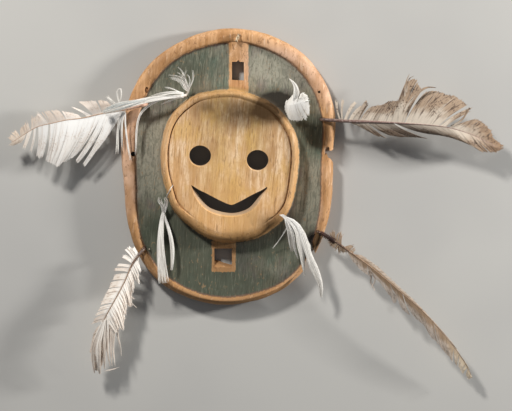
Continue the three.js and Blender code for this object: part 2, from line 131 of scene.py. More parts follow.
# ---- Materials ----

def tint(r, g, b):
    """A colour picked in sRGB, 0 to 255, as the shader wants it."""
    line = [v / 255 / 12.92 if v <= 10 else ((v / 255 + 0.055) / 1.055) ** 2.4 for v in (r, g, b)]
    return (*line, 1)


class Recipe:
    """A material under way: its nodes are added one by one and joined by their sockets."""

    def __init__(self, name):
        self.material = bpy.data.materials.new(name)
        self.material.use_nodes = True
        self.tree = self.material.node_tree
        self.shader = self.tree.nodes["Principled BSDF"]
        self.place = self.add("ShaderNodeTexCoord").outputs["Object"]

    def add(self, kind, **values):
        made = self.tree.nodes.new(kind)
        for key, value in values.items():
            setattr(made, key, value)
        return made

    def join(self, source, target):
        if isinstance(source, (int, float, tuple)):
            target.default_value = source
        else:
            self.tree.links.new(source, target)

    def cloud(self, place, scale, detail, rough=0.5, warp=0):
        made = self.add("ShaderNodeTexNoise")
        numbers = {"Scale": scale, "Detail": detail, "Roughness": rough, "Distortion": warp}
        for name, number in numbers.items():
            made.inputs[name].default_value = number
        self.join(place, made.inputs["Vector"])
        return made.outputs["Fac"]

    def grain(self, scale, stretch=(1, 1, 1), detail=4, rough=0.55, shift=(0, 0, 0), warp=0):
        """Noise read on the object's own place; stretch squeezes it along an axis."""
        spread = self.add("ShaderNodeMapping")
        spread.inputs["Scale"].default_value = stretch
        spread.inputs["Location"].default_value = shift
        self.join(self.place, spread.inputs["Vector"])
        return self.cloud(spread.outputs["Vector"], scale, detail, rough, warp)

    def value(self, name):
        return self.add("ShaderNodeAttribute", attribute_name=name).outputs["Fac"]

    def lanes(self, across, lengthwise):
        """Noise drawn out along the barbs, read on their own numbering."""
        spread = self.add("ShaderNodeCombineXYZ")
        self.join(self.times(self.value("down"), across), spread.inputs[0])
        self.join(self.times(self.value("along"), lengthwise), spread.inputs[1])
        return self.cloud(spread.outputs[0], 1, 3)

    def maths(self, kind, a, b):
        made = self.add("ShaderNodeMath", operation=kind)
        self.join(a, made.inputs[0])
        self.join(b, made.inputs[1])
        return made.outputs[0]

    def times(self, a, b):
        return self.maths("MULTIPLY", a, b)

    def plus(self, a, b):
        return self.maths("ADD", a, b)

    def minus(self, a, b):
        return self.maths("SUBTRACT", a, b)

    def ramp(self, source, start, end, first=0.0, last=1.0):
        """A smooth change from first, where the source is at start, to last, where it's at end."""
        made = self.add("ShaderNodeMapRange", interpolation_type="SMOOTHSTEP")
        self.join(source, made.inputs["Value"])
        for name, number in zip(("From Min", "From Max", "To Min", "To Max"), (start, end, first, last)):
            made.inputs[name].default_value = number
        return made.outputs["Result"]

    def blend(self, share, a, b):
        made = self.add("ShaderNodeMix", data_type="RGBA")
        self.join(share, made.inputs[0])
        self.join(a, made.inputs[6])
        self.join(b, made.inputs[7])
        return made.outputs[2]

    def coats(self, colour, *coats):
        """Coats laid over a colour one after the other, each with its share and its own colour."""
        for share, coat in coats:
            colour = self.blend(share, colour, coat)
        return colour

    def bump(self, height, depth, strength):
        made = self.add("ShaderNodeBump")
        made.inputs["Distance"].default_value = depth
        made.inputs["Strength"].default_value = strength
        self.join(height, made.inputs["Height"])
        self.join(made.outputs["Normal"], self.shader.inputs["Normal"])

    def colour(self, source):
        self.join(source, self.shader.inputs["Base Color"])

    def gloss(self, source):
        self.join(source, self.shader.inputs["Roughness"])


class PaintedWood(Recipe):
    """Bare wood on the rim, the face and two bands, and grey-green paint rubbed thin on the ground between.
    """

    def __init__(self):
        super().__init__("painted_wood")
        self.fine = self.grain(800, (1, 0.06, 1), 5, 0.65)
        self.broad = self.grain(170, (1, 0.09, 1), 4, 0.6, (3, 1, 0), 0.8)
        self.clouds = self.grain(48, (1, 0.7, 1), 4, 0.6, (7, 2, 1))
        self.stains = self.grain(30, (1, 0.6, 1), 3, 0.6, (2, 9, 4))
        self.tinge = self.grain(36, (1, 0.5, 1), 4, 0.6, (4, 3, 8))
        self.pores = self.grain(420, (1, 0.16, 1), 3, 0.5, (1, 4, 2))
        self.nicks = self.grain(260, (1, 0.5, 1), 3, 0.55, (5, 5, 5), 1.5)
        # The last of these holds paler and darker patches, partly wear and partly painted light and painted
        # shade
        self.disc, self.front, self.wear_light_and_shade = [self.value(name) for name in ("disc", "front", "wear_light_and_shade")]
        # Dark patches, partly stains and partly painted shadow
        self.soot_and_shadow_share = self.times(self.value("soot_and_shadow"), self.ramp(self.clouds, 0.3, 0.6, 0.7, 1.1))
        place = self.add("ShaderNodeSeparateXYZ")
        self.join(self.place, place.inputs[0])
        x, y = place.outputs["X"], place.outputs["Y"]
        # Lower down, the face turns more orange, the rim and bands darker and the paint darker and greener
        self.lower = self.ramp(y, MIDDLE.y + 0.06, MIDDLE.y - 0.12)
        self.middle = self.times(self.ramp(x, MIDDLE.x - 0.045, MIDDLE.x - 0.012),
                                 self.ramp(x, MIDDLE.x + 0.05, MIDDLE.x + 0.02))

    def face(self):
        ramp = self.ramp
        return self.coats(
            tint(202, 158, 108),
            (ramp(self.broad, 0.38, 0.62), tint(252, 224, 188)),
            (ramp(self.clouds, 0.42, 0.62, 0, 0.6), tint(226, 184, 134)),
            (self.times(self.middle, ramp(self.stains, 0.4, 0.6, 0.1, 0.6)), tint(214, 182, 112)),
            (ramp(self.stains, 0.5, 0.66, 0, 0.5), tint(192, 152, 104)),
            (ramp(self.tinge, 0.5, 0.62, 0, 0.5), tint(220, 176, 92)),
            (ramp(self.tinge, 0.46, 0.36, 0, 0.5), tint(176, 134, 92)),
            (ramp(self.fine, 0.47, 0.33, 0, 0.85), tint(150, 106, 64)),
            (ramp(self.fine, 0.56, 0.7, 0, 0.4), tint(248, 224, 192)),
            (ramp(self.nicks, 0.54, 0.38, 0, 0.35), tint(194, 148, 96)),
            (self.times(self.lower, 0.7), tint(232, 174, 108)))

    def edge(self):
        ramp = self.ramp
        return self.coats(
            tint(190, 140, 90),
            (ramp(self.broad, 0.38, 0.62), tint(224, 175, 126)),
            (ramp(self.clouds, 0.46, 0.66, 0, 0.5), tint(226, 180, 138)),
            # Paler and darker patches: wear, and painted light and painted shade on the rim and ring
            (ramp(self.wear_light_and_shade, 0, 0.6, 0, 0.8), tint(232, 192, 164)),
            (ramp(self.wear_light_and_shade, 0, -0.8, 0, 0.85), tint(152, 112, 70)),
            (ramp(self.stains, 0.48, 0.64, 0, 0.6), tint(170, 119, 68)),
            (ramp(self.fine, 0.46, 0.32, 0, 0.5), tint(144, 100, 62)),
            (ramp(self.pores, 0.6, 0.7, 0, 0.5), tint(242, 208, 176)),
            (self.times(self.lower, 0.4), tint(170, 128, 82)))

    def bare(self):
        """The face, the ring's lip round it, and the rim and bands, with their flecks, stains, painted
        shadow and cuts.
        """
        ramp, times = self.ramp, self.times
        face, edge = self.face(), self.edge()
        lip = self.coats(face, (0.3, edge), (0.4, tint(212, 162, 98)))
        off_face = ramp(self.disc, -9.6, -8.2)
        return self.coats(
            self.blend(off_face, face, self.blend(ramp(self.disc, 1, 5), lip, edge)),
            (ramp(self.pores, 0.36, 0.28, 0, 0.6), tint(126, 84, 48)),
            (times(off_face, ramp(self.nicks, 0.58, 0.68, 0, 0.55)), tint(122, 80, 46)),
            # Stains, and the painted shadow of the upright plume and painted shade on the ring
            (self.soot_and_shadow_share, tint(86, 60, 26)),
            (times(self.value("groove"), ramp(self.nicks, 0.38, 0.6, 0.25, 1)), tint(112, 68, 34)),
            (times(self.value("cut"), 0.85), tint(172, 148, 122)),
            (ramp(self.front, 1, 0), tint(150, 112, 74)))

    def paint(self):
        ramp = self.ramp
        return self.coats(
            tint(110, 108, 90),
            (ramp(self.broad, 0.38, 0.62), tint(150, 148, 130)),
            (ramp(self.clouds, 0.4, 0.62, 0, 0.6), tint(114, 118, 104)),
            (ramp(self.stains, 0.48, 0.66, 0, 0.55), tint(136, 118, 92)),
            (ramp(self.tinge, 0.49, 0.62, 0, 0.6), tint(90, 114, 100)),
            (ramp(self.tinge, 0.47, 0.37, 0, 0.6), tint(122, 104, 106)),
            # Paler and darker patches: rubbed paint, and painted light, painted shade and painted shadows
            (ramp(self.wear_light_and_shade, 0, 0.7, 0, 0.8), tint(180, 176, 158)),
            (ramp(self.wear_light_and_shade, 0, -0.8, 0, 0.8), tint(74, 78, 62)),
            (ramp(self.fine, 0.53, 0.68, 0, 0.42), tint(180, 178, 158)),
            (ramp(self.nicks, 0.54, 0.38, 0, 0.4), tint(86, 90, 76)),
            (self.times(self.lower, 0.5), tint(62, 70, 54)),
            (ramp(self.fine, 0.48, 0.34, 0, 0.6), tint(62, 60, 48)),
            (ramp(self.nicks, 0.62, 0.7, 0, 0.6), tint(158, 128, 92)),
            # Stains, and painted shadow beside the upright plume and in the crack by the lashing
            (self.soot_and_shadow_share, tint(36, 30, 18)))

    def finish(self):
        """The paint ends raggedly, with painted shade: a dark line under the rim's inner step and another
        at the foot of the ring.
        """
        ramp, times, plus = self.ramp, self.times, self.plus
        wander = plus(times(self.fine, 2.4), times(self.nicks, 3.6))
        ragged = plus(self.value("paint"), self.minus(wander, 3))
        covered = times(ramp(ragged, -0.35, 0.45), self.front)
        # Painted shade: a dark line along the rim's inner step, and another at the foot of the ring
        side_line = plus(self.value("rim"), times(self.minus(self.nicks, 0.5), 3))
        rim_step_shade = times(times(ramp(side_line, -0.8, 0.3), ramp(side_line, 2.2, 0.8)), self.front)
        foot = times(times(ramp(self.disc, -0.4, 0.8), ramp(self.disc, 5, 1)), self.front)
        self.colour(self.coats(
            self.bare(), (covered, self.paint()),
            # Painted shade by the rim's step and at the ring's foot
            (times(rim_step_shade, 0.6), tint(112, 76, 58)),
            (times(foot, 0.35), tint(70, 58, 40))))
        self.gloss(ramp(self.fine, 0.3, 0.7, 0.8, 0.6))
        rough = plus(times(self.broad, 0.7), times(self.fine, 0.35))
        self.bump(plus(rough, times(self.nicks, 0.3)), 0.0005, 0.7)
        return self.material


def feather_finish(name, near, outer, dark, streak_share, fleck_share, tip, tip_share, tip_from=0.72):
    """Barbs that differ one from the next: one tint by the shaft and another further out, streaked and
    flecked, and with a tint of its own towards the feather's tip."""
    barbs = Recipe(name)
    ramp, times, plus = barbs.ramp, barbs.times, barbs.plus
    along, down = barbs.value("along"), barbs.value("down")
    streaks = barbs.lanes(150, 2.4)
    bands = barbs.lanes(26, 3.2)
    flecks = barbs.grain(520, (1, 1, 0.3), 3, 0.6, (2, 0, 0))
    patches = barbs.grain(85, (1, 1, 0.3), 3, 0.6)
    away = plus(along, times(barbs.minus(bands, 0.5), 0.9))
    streak = times(ramp(streaks, 0.5, 0.68), ramp(away, 0.05, 0.4, 0.3, 1))
    fleck = times(times(ramp(flecks, 0.5, 0.64), ramp(patches, 0.42, 0.6)), ramp(along, 0.15, 0.4))
    barbs.colour(barbs.coats(
        near, (ramp(away, 0.12, 0.6), outer),
        (times(ramp(down, tip_from, tip_from + 0.24), tip_share), tip),
        (times(ramp(barbs.value("tone"), 0.45, 1), 0.55 * streak_share), dark),
        (times(streak, streak_share), dark),
        (ramp(down, 0.26, 0.18, 0, 0.8), near),
        (times(fleck, fleck_share), dark),
        # Painted shade where barbs are tucked under others or lie between groups of strands, and darker
        # clumps
        (times(barbs.value("tuck_shade_and_dark"), 0.5), dark)))
    barbs.gloss(ramp(flecks, 0.3, 0.7, 0.55, 0.8))
    barbs.shader.inputs["Sheen Weight"].default_value = 0.2
    barbs.bump(plus(flecks, streaks), 0.0002, 0.5)
    return barbs.material


def shaft_finish(name, base, end, streak):
    """Horn of a shaft, from its base to its tip, with fine streaks."""
    horn = Recipe(name)
    streaks = horn.grain(600, (1, 1, 1), 4, 0.6)
    horn.colour(horn.coats(
        base, (horn.ramp(horn.value("down"), 0.12, 0.3), end),
        (horn.ramp(streaks, 0.45, 0.7, 0, 0.6), streak)))
    horn.gloss(horn.ramp(streaks, 0.3, 0.7, 0.32, 0.5))
    horn.bump(streaks, 0.0001, 0.5)
    return horn.material


def cord_finish(name, base, light, dark):
    """Fibre with fine light flecks and broader dirt, for the cords, the peg and the plug."""
    cord = Recipe(name)
    fibre = cord.grain(1500, (1, 1, 1), 4, 0.65)
    dirt = cord.grain(260, (1, 1, 1), 3, 0.6, (1, 2, 3))
    cord.colour(cord.coats(
        base, (cord.ramp(fibre, 0.35, 0.65), light), (cord.ramp(dirt, 0.4, 0.7), dark)))
    cord.gloss(cord.ramp(fibre, 0.3, 0.7, 0.5, 0.75))
    cord.bump(fibre, 0.0002, 0.7)
    return cord.material


WOOD = PaintedWood().finish()
WHITE = feather_finish(
    "white_barbs", tint(255, 254, 251), tint(254, 250, 244), tint(176, 146, 118), 0.36, 0.35,
    tint(236, 214, 190), 0.7)
CREAM = feather_finish(
    "cream_barbs", tint(254, 249, 241), tint(248, 238, 226), tint(170, 138, 112), 0.6, 0.25,
    tint(230, 214, 198), 0.5)
MOTTLED = feather_finish(
    "mottled_barbs", tint(220, 207, 190), tint(176, 152, 128), tint(78, 58, 44), 1, 1,
    tint(164, 132, 102), 0.85)
GREY = feather_finish(
    "grey_barbs", tint(168, 140, 112), tint(236, 220, 205), tint(98, 78, 54), 0.5, 0.4,
    tint(240, 222, 192), 0.7)
DOWN = feather_finish(
    "downy_white", tint(254, 252, 247), tint(250, 247, 240), tint(160, 144, 128), 0.3, 0.1,
    tint(176, 190, 192), 0.9, 1)
PALE_HORN = shaft_finish("pale_horn", tint(206, 166, 144), tint(190, 158, 132), tint(232, 208, 190))
DARK_HORN = shaft_finish("dark_horn", tint(78, 56, 46), tint(150, 122, 100), tint(206, 182, 160))
GREY_HORN = shaft_finish("grey_horn", tint(104, 80, 72), tint(140, 112, 104), tint(216, 198, 188))
DARK_CORD = cord_finish("dark_cord", tint(38, 22, 18), tint(104, 60, 46), tint(18, 11, 9))
LIGHT_CORD = cord_finish("light_cord", tint(206, 178, 140), tint(238, 220, 190), tint(110, 82, 56))
PALE_PEG = cord_finish("pale_peg", tint(226, 214, 196), tint(245, 238, 226), tint(170, 148, 120))
BROWN_PLUG = cord_finish("brown_plug", tint(104, 66, 34), tint(146, 100, 58), tint(58, 34, 18))

# ---- The carved board ----

# Distances from the middle, evenly spaced round the board from the right, anticlockwise
BOARD = [
    112.5, 114.3, 126.9, 137.9, 146.1, 149.5, 151.1, 149.3, 146, 140.7, 132.2, 123.9,
    118, 116.7, 124.2, 135.1, 145.4, 149, 150, 148.1, 143.9, 135.4, 125.2, 117.3]
RIM_INNER = [
    100.3, 103.4, 113.2, 122.9, 130.5, 134.4, 136.6, 134.7, 132.5, 125.9, 116.8, 108.7,
    104.1, 104.6, 113.0, 126.4, 136.4, 141.5, 143.2, 141.3, 138.5, 129.1, 115.7, 105.9]
DISC = [
    73.7, 74.9, 77.1, 79.2, 80.4, 81.5, 82.2, 82, 82.4, 83.6, 84, 84.9, 86.7, 86.2, 85.3, 82.9, 79.6, 77,
    75.1, 73.7, 73.2, 74.2, 76.4, 77, 77.6, 79.2, 80.9, 81.7, 81.6, 82, 82.1, 81.4, 80.5, 79, 76.1, 74.1]
# Heights over the table, the wall's thickness and how deep the rim's step and the ring's groove are
RIM_CREST, RIM_STEP = 18, 2.2
GROUND_RIM, GROUND_FOOT, GROUND_SAG = 14, 11, 1.2
RING_CREST, FACE, FACE_DISH, GROOVE, WALL = 30, 27.2, 1.2, 1.8, 6.5
BAND_ABOVE = [(-12.8, 148.9), (8.4, 150.6), (13.7, 83.1), (-7.5, 81.5)]
BAND_BELOW = [(-13.5, -81.5), (12.5, -79.4), (15.2, -113.7), (-10.8, -115.8)]
AROUND = 360
# How far the corners of a section are cut: rounded, firm, crisp and sharp
ROUND, FIRM, CRISP, SHARP = 0.25, 0.2, 0.1, 0.06
# Stretches of the ring and of the upper band, in degrees: middle, how far it's full, and where it's gone
BROW, CHIN, UPPER_BAND = (88, 22, 48), (272, 28, 60), (91, 3.5, 6)


def around(radii, angle):
    """Smooth reading of a list of equally spaced radii at any angle."""
    place = (angle / math.tau * len(radii)) % len(radii)
    whole = math.floor(place)
    f = place - whole
    a, b, c, d = (radii[(whole + k) % len(radii)] for k in (-1, 0, 1, 2))
    return b + 0.5 * f * (c - a + f * (2 * a - 5 * b + 4 * c - d + f * (3 * (b - c) + d - a)))


def near_angle(angle, middle, full, gone):
    """One around the given middle, in degrees, falling to nought further away."""
    away = abs((math.degrees(angle) - middle + 180) % 360 - 180)
    return 1 - step_up(full, gone, away)


def lip_section(angle, disc):
    """The ring round the face: grooved behind at the sides, a thin lip above, one with the chin below."""
    brow, chin = near_angle(angle, *BROW), near_angle(angle, *CHIN)
    side = 1 - brow - chin
    groove = -2.8 - GROOVE
    # Inwards from the ring's outside, then the height under its crest at the sides, the brow and the chin
    slots = [
        (0, -16, -16, -16), (0.6, -6, -6.5, -9.5), (1.9, -2.2, -2.8, -6.2), (3.8, -0.9, -1.5, -4.4),
        (5.8, -1.1, -2, -3.6), (6.9, -2, -2.6, -3.2), (7.3, groove, -2.8, -3), (8.1, groove, -2.9, -2.9),
        (8.5, -3, -2.8, -2.8), (9.8, -2.8, -2.8, -2.8)]
    spread = 1 + 0.35 * chin
    return [(disc - away * spread, RING_CREST + side * a + brow * b + chin * c, ROUND)
            for away, a, b, c in slots]


def board_section(angle):
    """The section at one angle from the middle of the back to the middle of the front. Each point is
    distance, height and how far its corner is cut, and the cuts turn the corners into round forms."""
    board = around(BOARD, angle) + 0.4 + 0.7 * near_angle(angle, 225, 60, 100)
    rim, disc = around(RIM_INNER, angle), around(DISC, angle)
    lip = lip_section(angle, disc)
    foot, face, behind = disc + 1.5, lip[-1][0] - 0.6, GROUND_FOOT - WALL
    under_face = FACE - FACE_DISH - WALL
    rows = [(face * f, under_face, ROUND) for f in (0, 0.2, 0.4, 0.6, 0.8)]
    rows += [
        (disc - 11, FACE - WALL - 1.5, ROUND), (disc - 8.5, FACE - WALL - 5, ROUND),
        (disc - 7, behind + 3, ROUND), (disc - 5.5, behind, FIRM),
        ((disc + board) / 2 - 8, behind + 0.4, ROUND), (board - 17, behind + 0.8, FIRM),
        (board - 13, 0, SHARP), (board - 3, 0, SHARP), (board - 0.8, 3.2, ROUND), (board, 8.5, ROUND),
        (board - 1.2, 14, ROUND), (board - 3.6, 17, ROUND), ((board - 1.5 + rim) / 2, RIM_CREST, ROUND),
        (rim + 1, RIM_CREST - 0.7, ROUND), (rim, RIM_CREST - RIM_STEP, FIRM)]
    for f in (0, 0.12, 0.25, 0.4, 0.55, 0.7, 0.85, 1):
        sag = GROUND_SAG * 4 * f * (1 - f) - 1.6 * near_angle(angle, *UPPER_BAND) * (1 - f) ** 4
        height = mix(GROUND_RIM, GROUND_FOOT, f) - sag
        rows.append((mix(rim - 1, foot, f), height, CRISP if f in (0, 1) else ROUND))
    rows += lip
    rows += [(face * f, FACE - FACE_DISH * (1 - f * f), 0.15 if f == 1 else ROUND)
             for f in (1, 0.88, 0.76, 0.64, 0.52, 0.4, 0.28, 0.16, 0.06)]
    rows.append((0, FACE - FACE_DISH, ROUND))
    for _ in range(2):
        cut = [rows[0]]
        for (r0, z0, c0), (r1, z1, c1) in zip(rows, rows[1:]):
            if c0 and r0 > 0:
                cut.append((mix(r0, r1, c0), mix(z0, z1, c0), c0))
            if c1 and r1 > 0:
                cut.append((mix(r1, r0, c1), mix(z1, z0, c1), c1))
        rows = [*cut, rows[-1]]
    return rows


def inside(point, corners):
    """How far a point is inside a four-cornered area, below nought when it is outside."""
    x, y = point
    reach = 1e9
    for (x0, y0), (x1, y1) in zip(corners, corners[1:] + corners[:1]):
        length = math.hypot(x1 - x0, y1 - y0)
        reach = min(reach, ((y1 - y0) * (x - x0) - (x1 - x0) * (y - y0)) / length)
    return reach


def tool_marks(x, y, z, up):
    """Height of the surface over its smooth form: knife strokes, swellings and small knocks."""
    rise = 0.45 * noise.noise((x / 24, y / 24, z / 24))
    if up > 0.3:
        rise += 0.22 * noise.noise((x / 4.2, y / 34, 3.1))
    else:
        rise += 0.5 * noise.noise((x / 9, y / 14, 7.3))
    knock = noise.noise((x / 4.4, y / 4.4, z / 4.4 + 20))
    if z > 12 and knock > 0.42:
        rise -= (2.2 if z < 24 else 0.9) * (knock - 0.42)
    return rise


def turned_board():
    """A flat grid bent round into the board: one way of it runs round and the other along a section."""
    sections = [board_section(j / AROUND * math.tau) for j in range(AROUND)]
    rows = len(sections[0])
    bpy.ops.object.select_all(action="DESELECT")
    bpy.ops.mesh.primitive_grid_add(x_subdivisions=AROUND, y_subdivisions=rows - 1, size=2)
    board = bpy.context.object
    for v in board.data.vertices:
        j = round((v.co.x + 1) / 2 * AROUND)
        i = round((v.co.y + 1) / 2 * (rows - 1))
        angle = j % AROUND / AROUND * math.tau
        r, z, _ = sections[j % AROUND][i]
        v.co = (r * math.cos(angle), r * math.sin(angle), z)
    close_up(0.0001)
    normals = [v.normal.copy() for v in board.data.vertices]
    for v, normal in zip(board.data.vertices, normals):
        v.co += normal * tool_marks(*v.co, normal.z)
        v.co.z = max(0, v.co.z)
    return board


def cutter(levels):
    """A closed tool through matching outlines: levels are height and points."""
    bpy.ops.object.select_all(action="DESELECT")
    bpy.ops.mesh.primitive_circle_add(vertices=len(levels[0][1]), radius=1, fill_type="NGON")
    tool = bpy.context.object
    bpy.ops.object.mode_set(mode="EDIT")
    shape = bmesh.from_edit_mesh(tool.data)
    shape.verts.ensure_lookup_table()
    ring = list(shape.verts)
    for v, (x, y) in zip(ring, levels[0][1]):
        v.co = (x, y, levels[0][0])
    for z, points in levels[1:]:
        where = {tuple(round(c, 4) for c in v.co): i for i, v in enumerate(ring)}
        bmesh.update_edit_mesh(tool.data)
        bpy.ops.mesh.select_all(action="DESELECT")
        shape = bmesh.from_edit_mesh(tool.data)
        for face in shape.faces:
            if abs(face.calc_center_median().z - ring[0].co.z) < 1e-4 and len(face.verts) == len(ring):
                face.select_set(True)
        bmesh.update_edit_mesh(tool.data)
        bpy.ops.mesh.extrude_region_move(TRANSFORM_OT_translate={"value": (0, 0, 0)})
        shape = bmesh.from_edit_mesh(tool.data)
        chosen = [v for v in shape.verts if v.select]
        ring = sorted(chosen, key=lambda v: where[tuple(round(c, 4) for c in v.co)])
        for v, (x, y) in zip(ring, points):
            v.co = (x, y, z)
    bmesh.update_edit_mesh(tool.data)
    bpy.ops.mesh.select_all(action="SELECT")
    bpy.ops.mesh.normals_make_consistent(inside=False)
    bpy.ops.object.mode_set(mode="OBJECT")
    return tool


def carve(piece, tool):
    """Cut the tool out of the piece; the tool is gone afterwards."""
    cut = piece.modifiers.new("cut", "BOOLEAN")
    cut.object = tool
    cut.operation = "DIFFERENCE"
    cut.solver = "EXACT"
    select_only(piece)
    bpy.ops.object.modifier_apply(modifier=cut.name)
    bpy.data.objects.remove(tool)


def oval(x, y, width, height, count):
    angles = [i / count * math.tau for i in range(count)]
    return [(x + width / 2 * math.cos(a), y + height / 2 * math.sin(a)) for a in angles]


def spline(points, count, closed=False):
    """Evenly spaced points on the centripetal curve through the given points."""
    points = [Vector(p) for p in points]
    ends = [points[-1]] if closed else [points[0] * 2 - points[1]]
    tail = points[:2] if closed else [points[-1] * 2 - points[-2]]
    line = ends + points + tail
    dense = []
    for a, b, c, d in zip(line, line[1:], line[2:], line[3:]):
        t0, t1 = 0, max((b - a).length, 1e-6) ** 0.5
        t2 = t1 + max((c - b).length, 1e-6) ** 0.5
        t3 = t2 + max((d - c).length, 1e-6) ** 0.5
        for k in range(16):
            t = mix(t1, t2, k / 16)
            ab = a * ((t1 - t) / (t1 - t0)) + b * ((t - t0) / (t1 - t0))
            bc = b * ((t2 - t) / (t2 - t1)) + c * ((t - t1) / (t2 - t1))
            cd = c * ((t3 - t) / (t3 - t2)) + d * ((t - t2) / (t3 - t2))
            abc = ab * ((t2 - t) / (t2 - t0)) + bc * ((t - t0) / (t2 - t0))
            bcd = bc * ((t3 - t) / (t3 - t1)) + cd * ((t - t1) / (t3 - t1))
            dense.append(abc * ((t2 - t) / (t2 - t1)) + bcd * ((t - t1) / (t2 - t1)))
    dense.append(points[0].copy() if closed else points[-1].copy())
    reach = [0]
    for p, q in zip(dense, dense[1:]):
        reach.append(reach[-1] + (q - p).length)
    spaced, k = [], 0
    for i in range(count):
        want = reach[-1] * i / (count if closed else count - 1)
        while k < len(reach) - 2 and reach[k + 1] < want:
            k += 1
        f = (want - reach[k]) / max(reach[k + 1] - reach[k], 1e-9)
        spaced.append(dense[k].lerp(dense[k + 1], f))
    return spaced


def tube(path, radii, sides=8):
    """A closed round tube along a path, made as a curve with a bevel and turned into a mesh."""
    shape = bpy.data.curves.new("tube", "CURVE")
    shape.dimensions = "3D"
    shape.bevel_depth = 1
    shape.bevel_resolution = max(0, sides // 4 - 1)
    shape.use_fill_caps = True
    line = shape.splines.new("POLY")
    line.points.add(len(path) - 1)
    for point, place, radius in zip(line.points, path, radii):
        point.co = (*place, 1)
        point.radius = radius
    piece = bpy.data.objects.new("tube", shape)
    bpy.context.collection.objects.link(piece)
    select_only(piece)
    bpy.ops.object.convert(target="MESH")
    piece = bpy.context.object
    close_up(0.00001)
    return piece


# The mouth in the photo's pixels: its upper and lower edge, and the outside of the bevel below it
MOUTH_ABOVE = [
    (191.5, 184.5), (199, 189.3), (207, 193.2), (215, 197.5), (223, 201.5), (229, 204), (232, 204.6),
    (236, 203), (243, 199.5), (250, 195.6), (257, 192), (262, 189.6), (267, 186.3)]
MOUTH_BELOW = [
    (265, 188.8), (260, 194), (256, 200), (252, 205), (247, 208.9), (240, 211.5), (233, 212.8), (224, 212),
    (216, 210), (210, 207.4), (205, 203.2), (200, 197), (196, 191)]
MOUTH_EDGE = [
    (268, 188.5), (264.6, 195), (260.8, 202), (256.4, 208), (250.6, 212.6), (243, 215.7), (235, 217),
    (226, 217), (217, 215.5), (209, 212.4), (203, 208.4), (197, 201.4), (193, 194)]
# Outlines on the mask's plan
TOP_HOLE = [(-6.8, 114.4), (-1.6, 114.9), (-0.2, 117), (1.6, 115.1), (6.2, 115.4), (7.8, 95.2),
            (-5.3, 94.8)]
BOTTOM_HOLE = [(-10.1, -90.3), (9.1, -88.8), (10.7, -109.7), (-8.4, -111.2)]
BOTTOM_BEHIND = [(-10.1, -90.3), (9.1, -88.8), (10.5, -106), (-9.1, -102.5)]
# Heights well under and well over the board, between which a tool cuts right through
UNDER, OVER = -5, 60
# An eye hole from the back to the front: height, how far up its middle is, width and height
EYE_SIDES = (-33.3, 29.3)
EYE_LEVELS = [
    (UNDER, 10.3, 23.4, 21.8), (FACE - 4, 10.3, 23.4, 21.8), (FACE - 1.6, 9.9, 23.9, 22.5),
    (FACE - 0.4, 9.5, 25, 24), (OVER, 9.4, 26.2, 25.4)]
NOTCH = [
    (102, 27.2), (103.4, 29.4), (105.3, 30.8), (106.5, 29.2), (106.6, 26.6), (108.7, 26.3), (123, 39),
    (125, 4), (113.5, 10), (110.9, 14.9), (108.7, 17.5), (106, 18.6), (103.9, 23.1), (102.5, 21.2)]
CRACK = [
    (98.4, -65.4), (94.4, -67), (90.4, -71.1), (90.2, -76.1), (92.8, -81.3), (92.3, -87.9), (89.7, -96.9),
    (87, -103.6), (96, -114), (112, -98), (101.5, -89.9), (99.3, -85.2), (96.9, -79.4), (96.2, -73.4)]
# The large feathers' shafts from the quill's end in the rim to the tip
SHAFTS = {
    "feather_upper_left": [
        (-95.6, 61, 6), (-95.8, 61, 13), (-98.2, 60.2, 18.6), (-104, 58.6, 20.6), (-118, 54, 21.6),
        (-146, 46.6, 24), (-164, 41, 28), (-181, 37.6, 31), (-196, 33, 31), (-212, 27.6, 28),
        (-226, 18, 24), (-239, 8, 21)],
    "feather_upper_right": [
        (94.7, 59.4, 6), (94.9, 59.4, 13), (97.4, 59.5, 18.6), (103, 59.7, 20.6), (121, 60, 22.5),
        (154, 61.8, 27), (181.4, 62.6, 31), (214, 63, 33), (236, 61.6, 32), (258, 56.7, 28),
        (275, 50.5, 24), (292, 42.4, 20)],
    "feather_lower_left": [
        (-85.8, -94.7, 6), (-86, -95, 13), (-87.4, -97.2, 18.6), (-91, -102.6, 20.6), (-97.6, -113.4, 22),
        (-104.4, -132.6, 25), (-111.6, -149.6, 28), (-118.4, -164.2, 30), (-124.2, -177.6, 29),
        (-127.8, -188.8, 27), (-129.8, -205.2, 24), (-128.4, -221.4, 21), (-124.6, -235.4, 18)],
    "feather_lower_right": [
        (100.2, -62, 6), (100.4, -62.1, 13), (103, -63.4, 18.8), (108.6, -66, 20.8), (120.5, -71.5, 22),
        (134.3, -79.7, 24), (160.7, -95.7, 28), (195.5, -120.3, 31), (224.6, -142.1, 30),
        (248.2, -164.8, 26), (266.2, -184.8, 22), (276, -198.2, 19), (281.2, -207.7, 17)],
}
# A quill's radius, and the share of the shaft's length by which it has become thin
QUILLS = {
    "feather_upper_left": (1.9, 0.35), "feather_upper_right": (1.9, 0.6),
    "feather_lower_left": (1.9, 0.3), "feather_lower_right": (1.5, 0.4)}
PEG, PLUG = (-80.6, -96.2), (-96.9, 76.6)
# Drilled holes: the place of the middle, width, height, bottom, how much wider at the top, and sides
HOLES = [
    (-106.3, 5.9, 5.4, 5.4, UNDER, 0.2, 24), (90.4, 89.2, 2.6, 2.6, UNDER, 0.2, 16),
    (*PLUG, 3.8, 6.8, 4.7, 0, 24), (*PEG, 2.4, 2.4, 7.7, 0, 16),
    *[(x, y, 2.4, 2.4, 4.7, 0, 16) for x, y in ((-54.8, 74.6), (54.8, 71.8), (-66, -48.4))]]
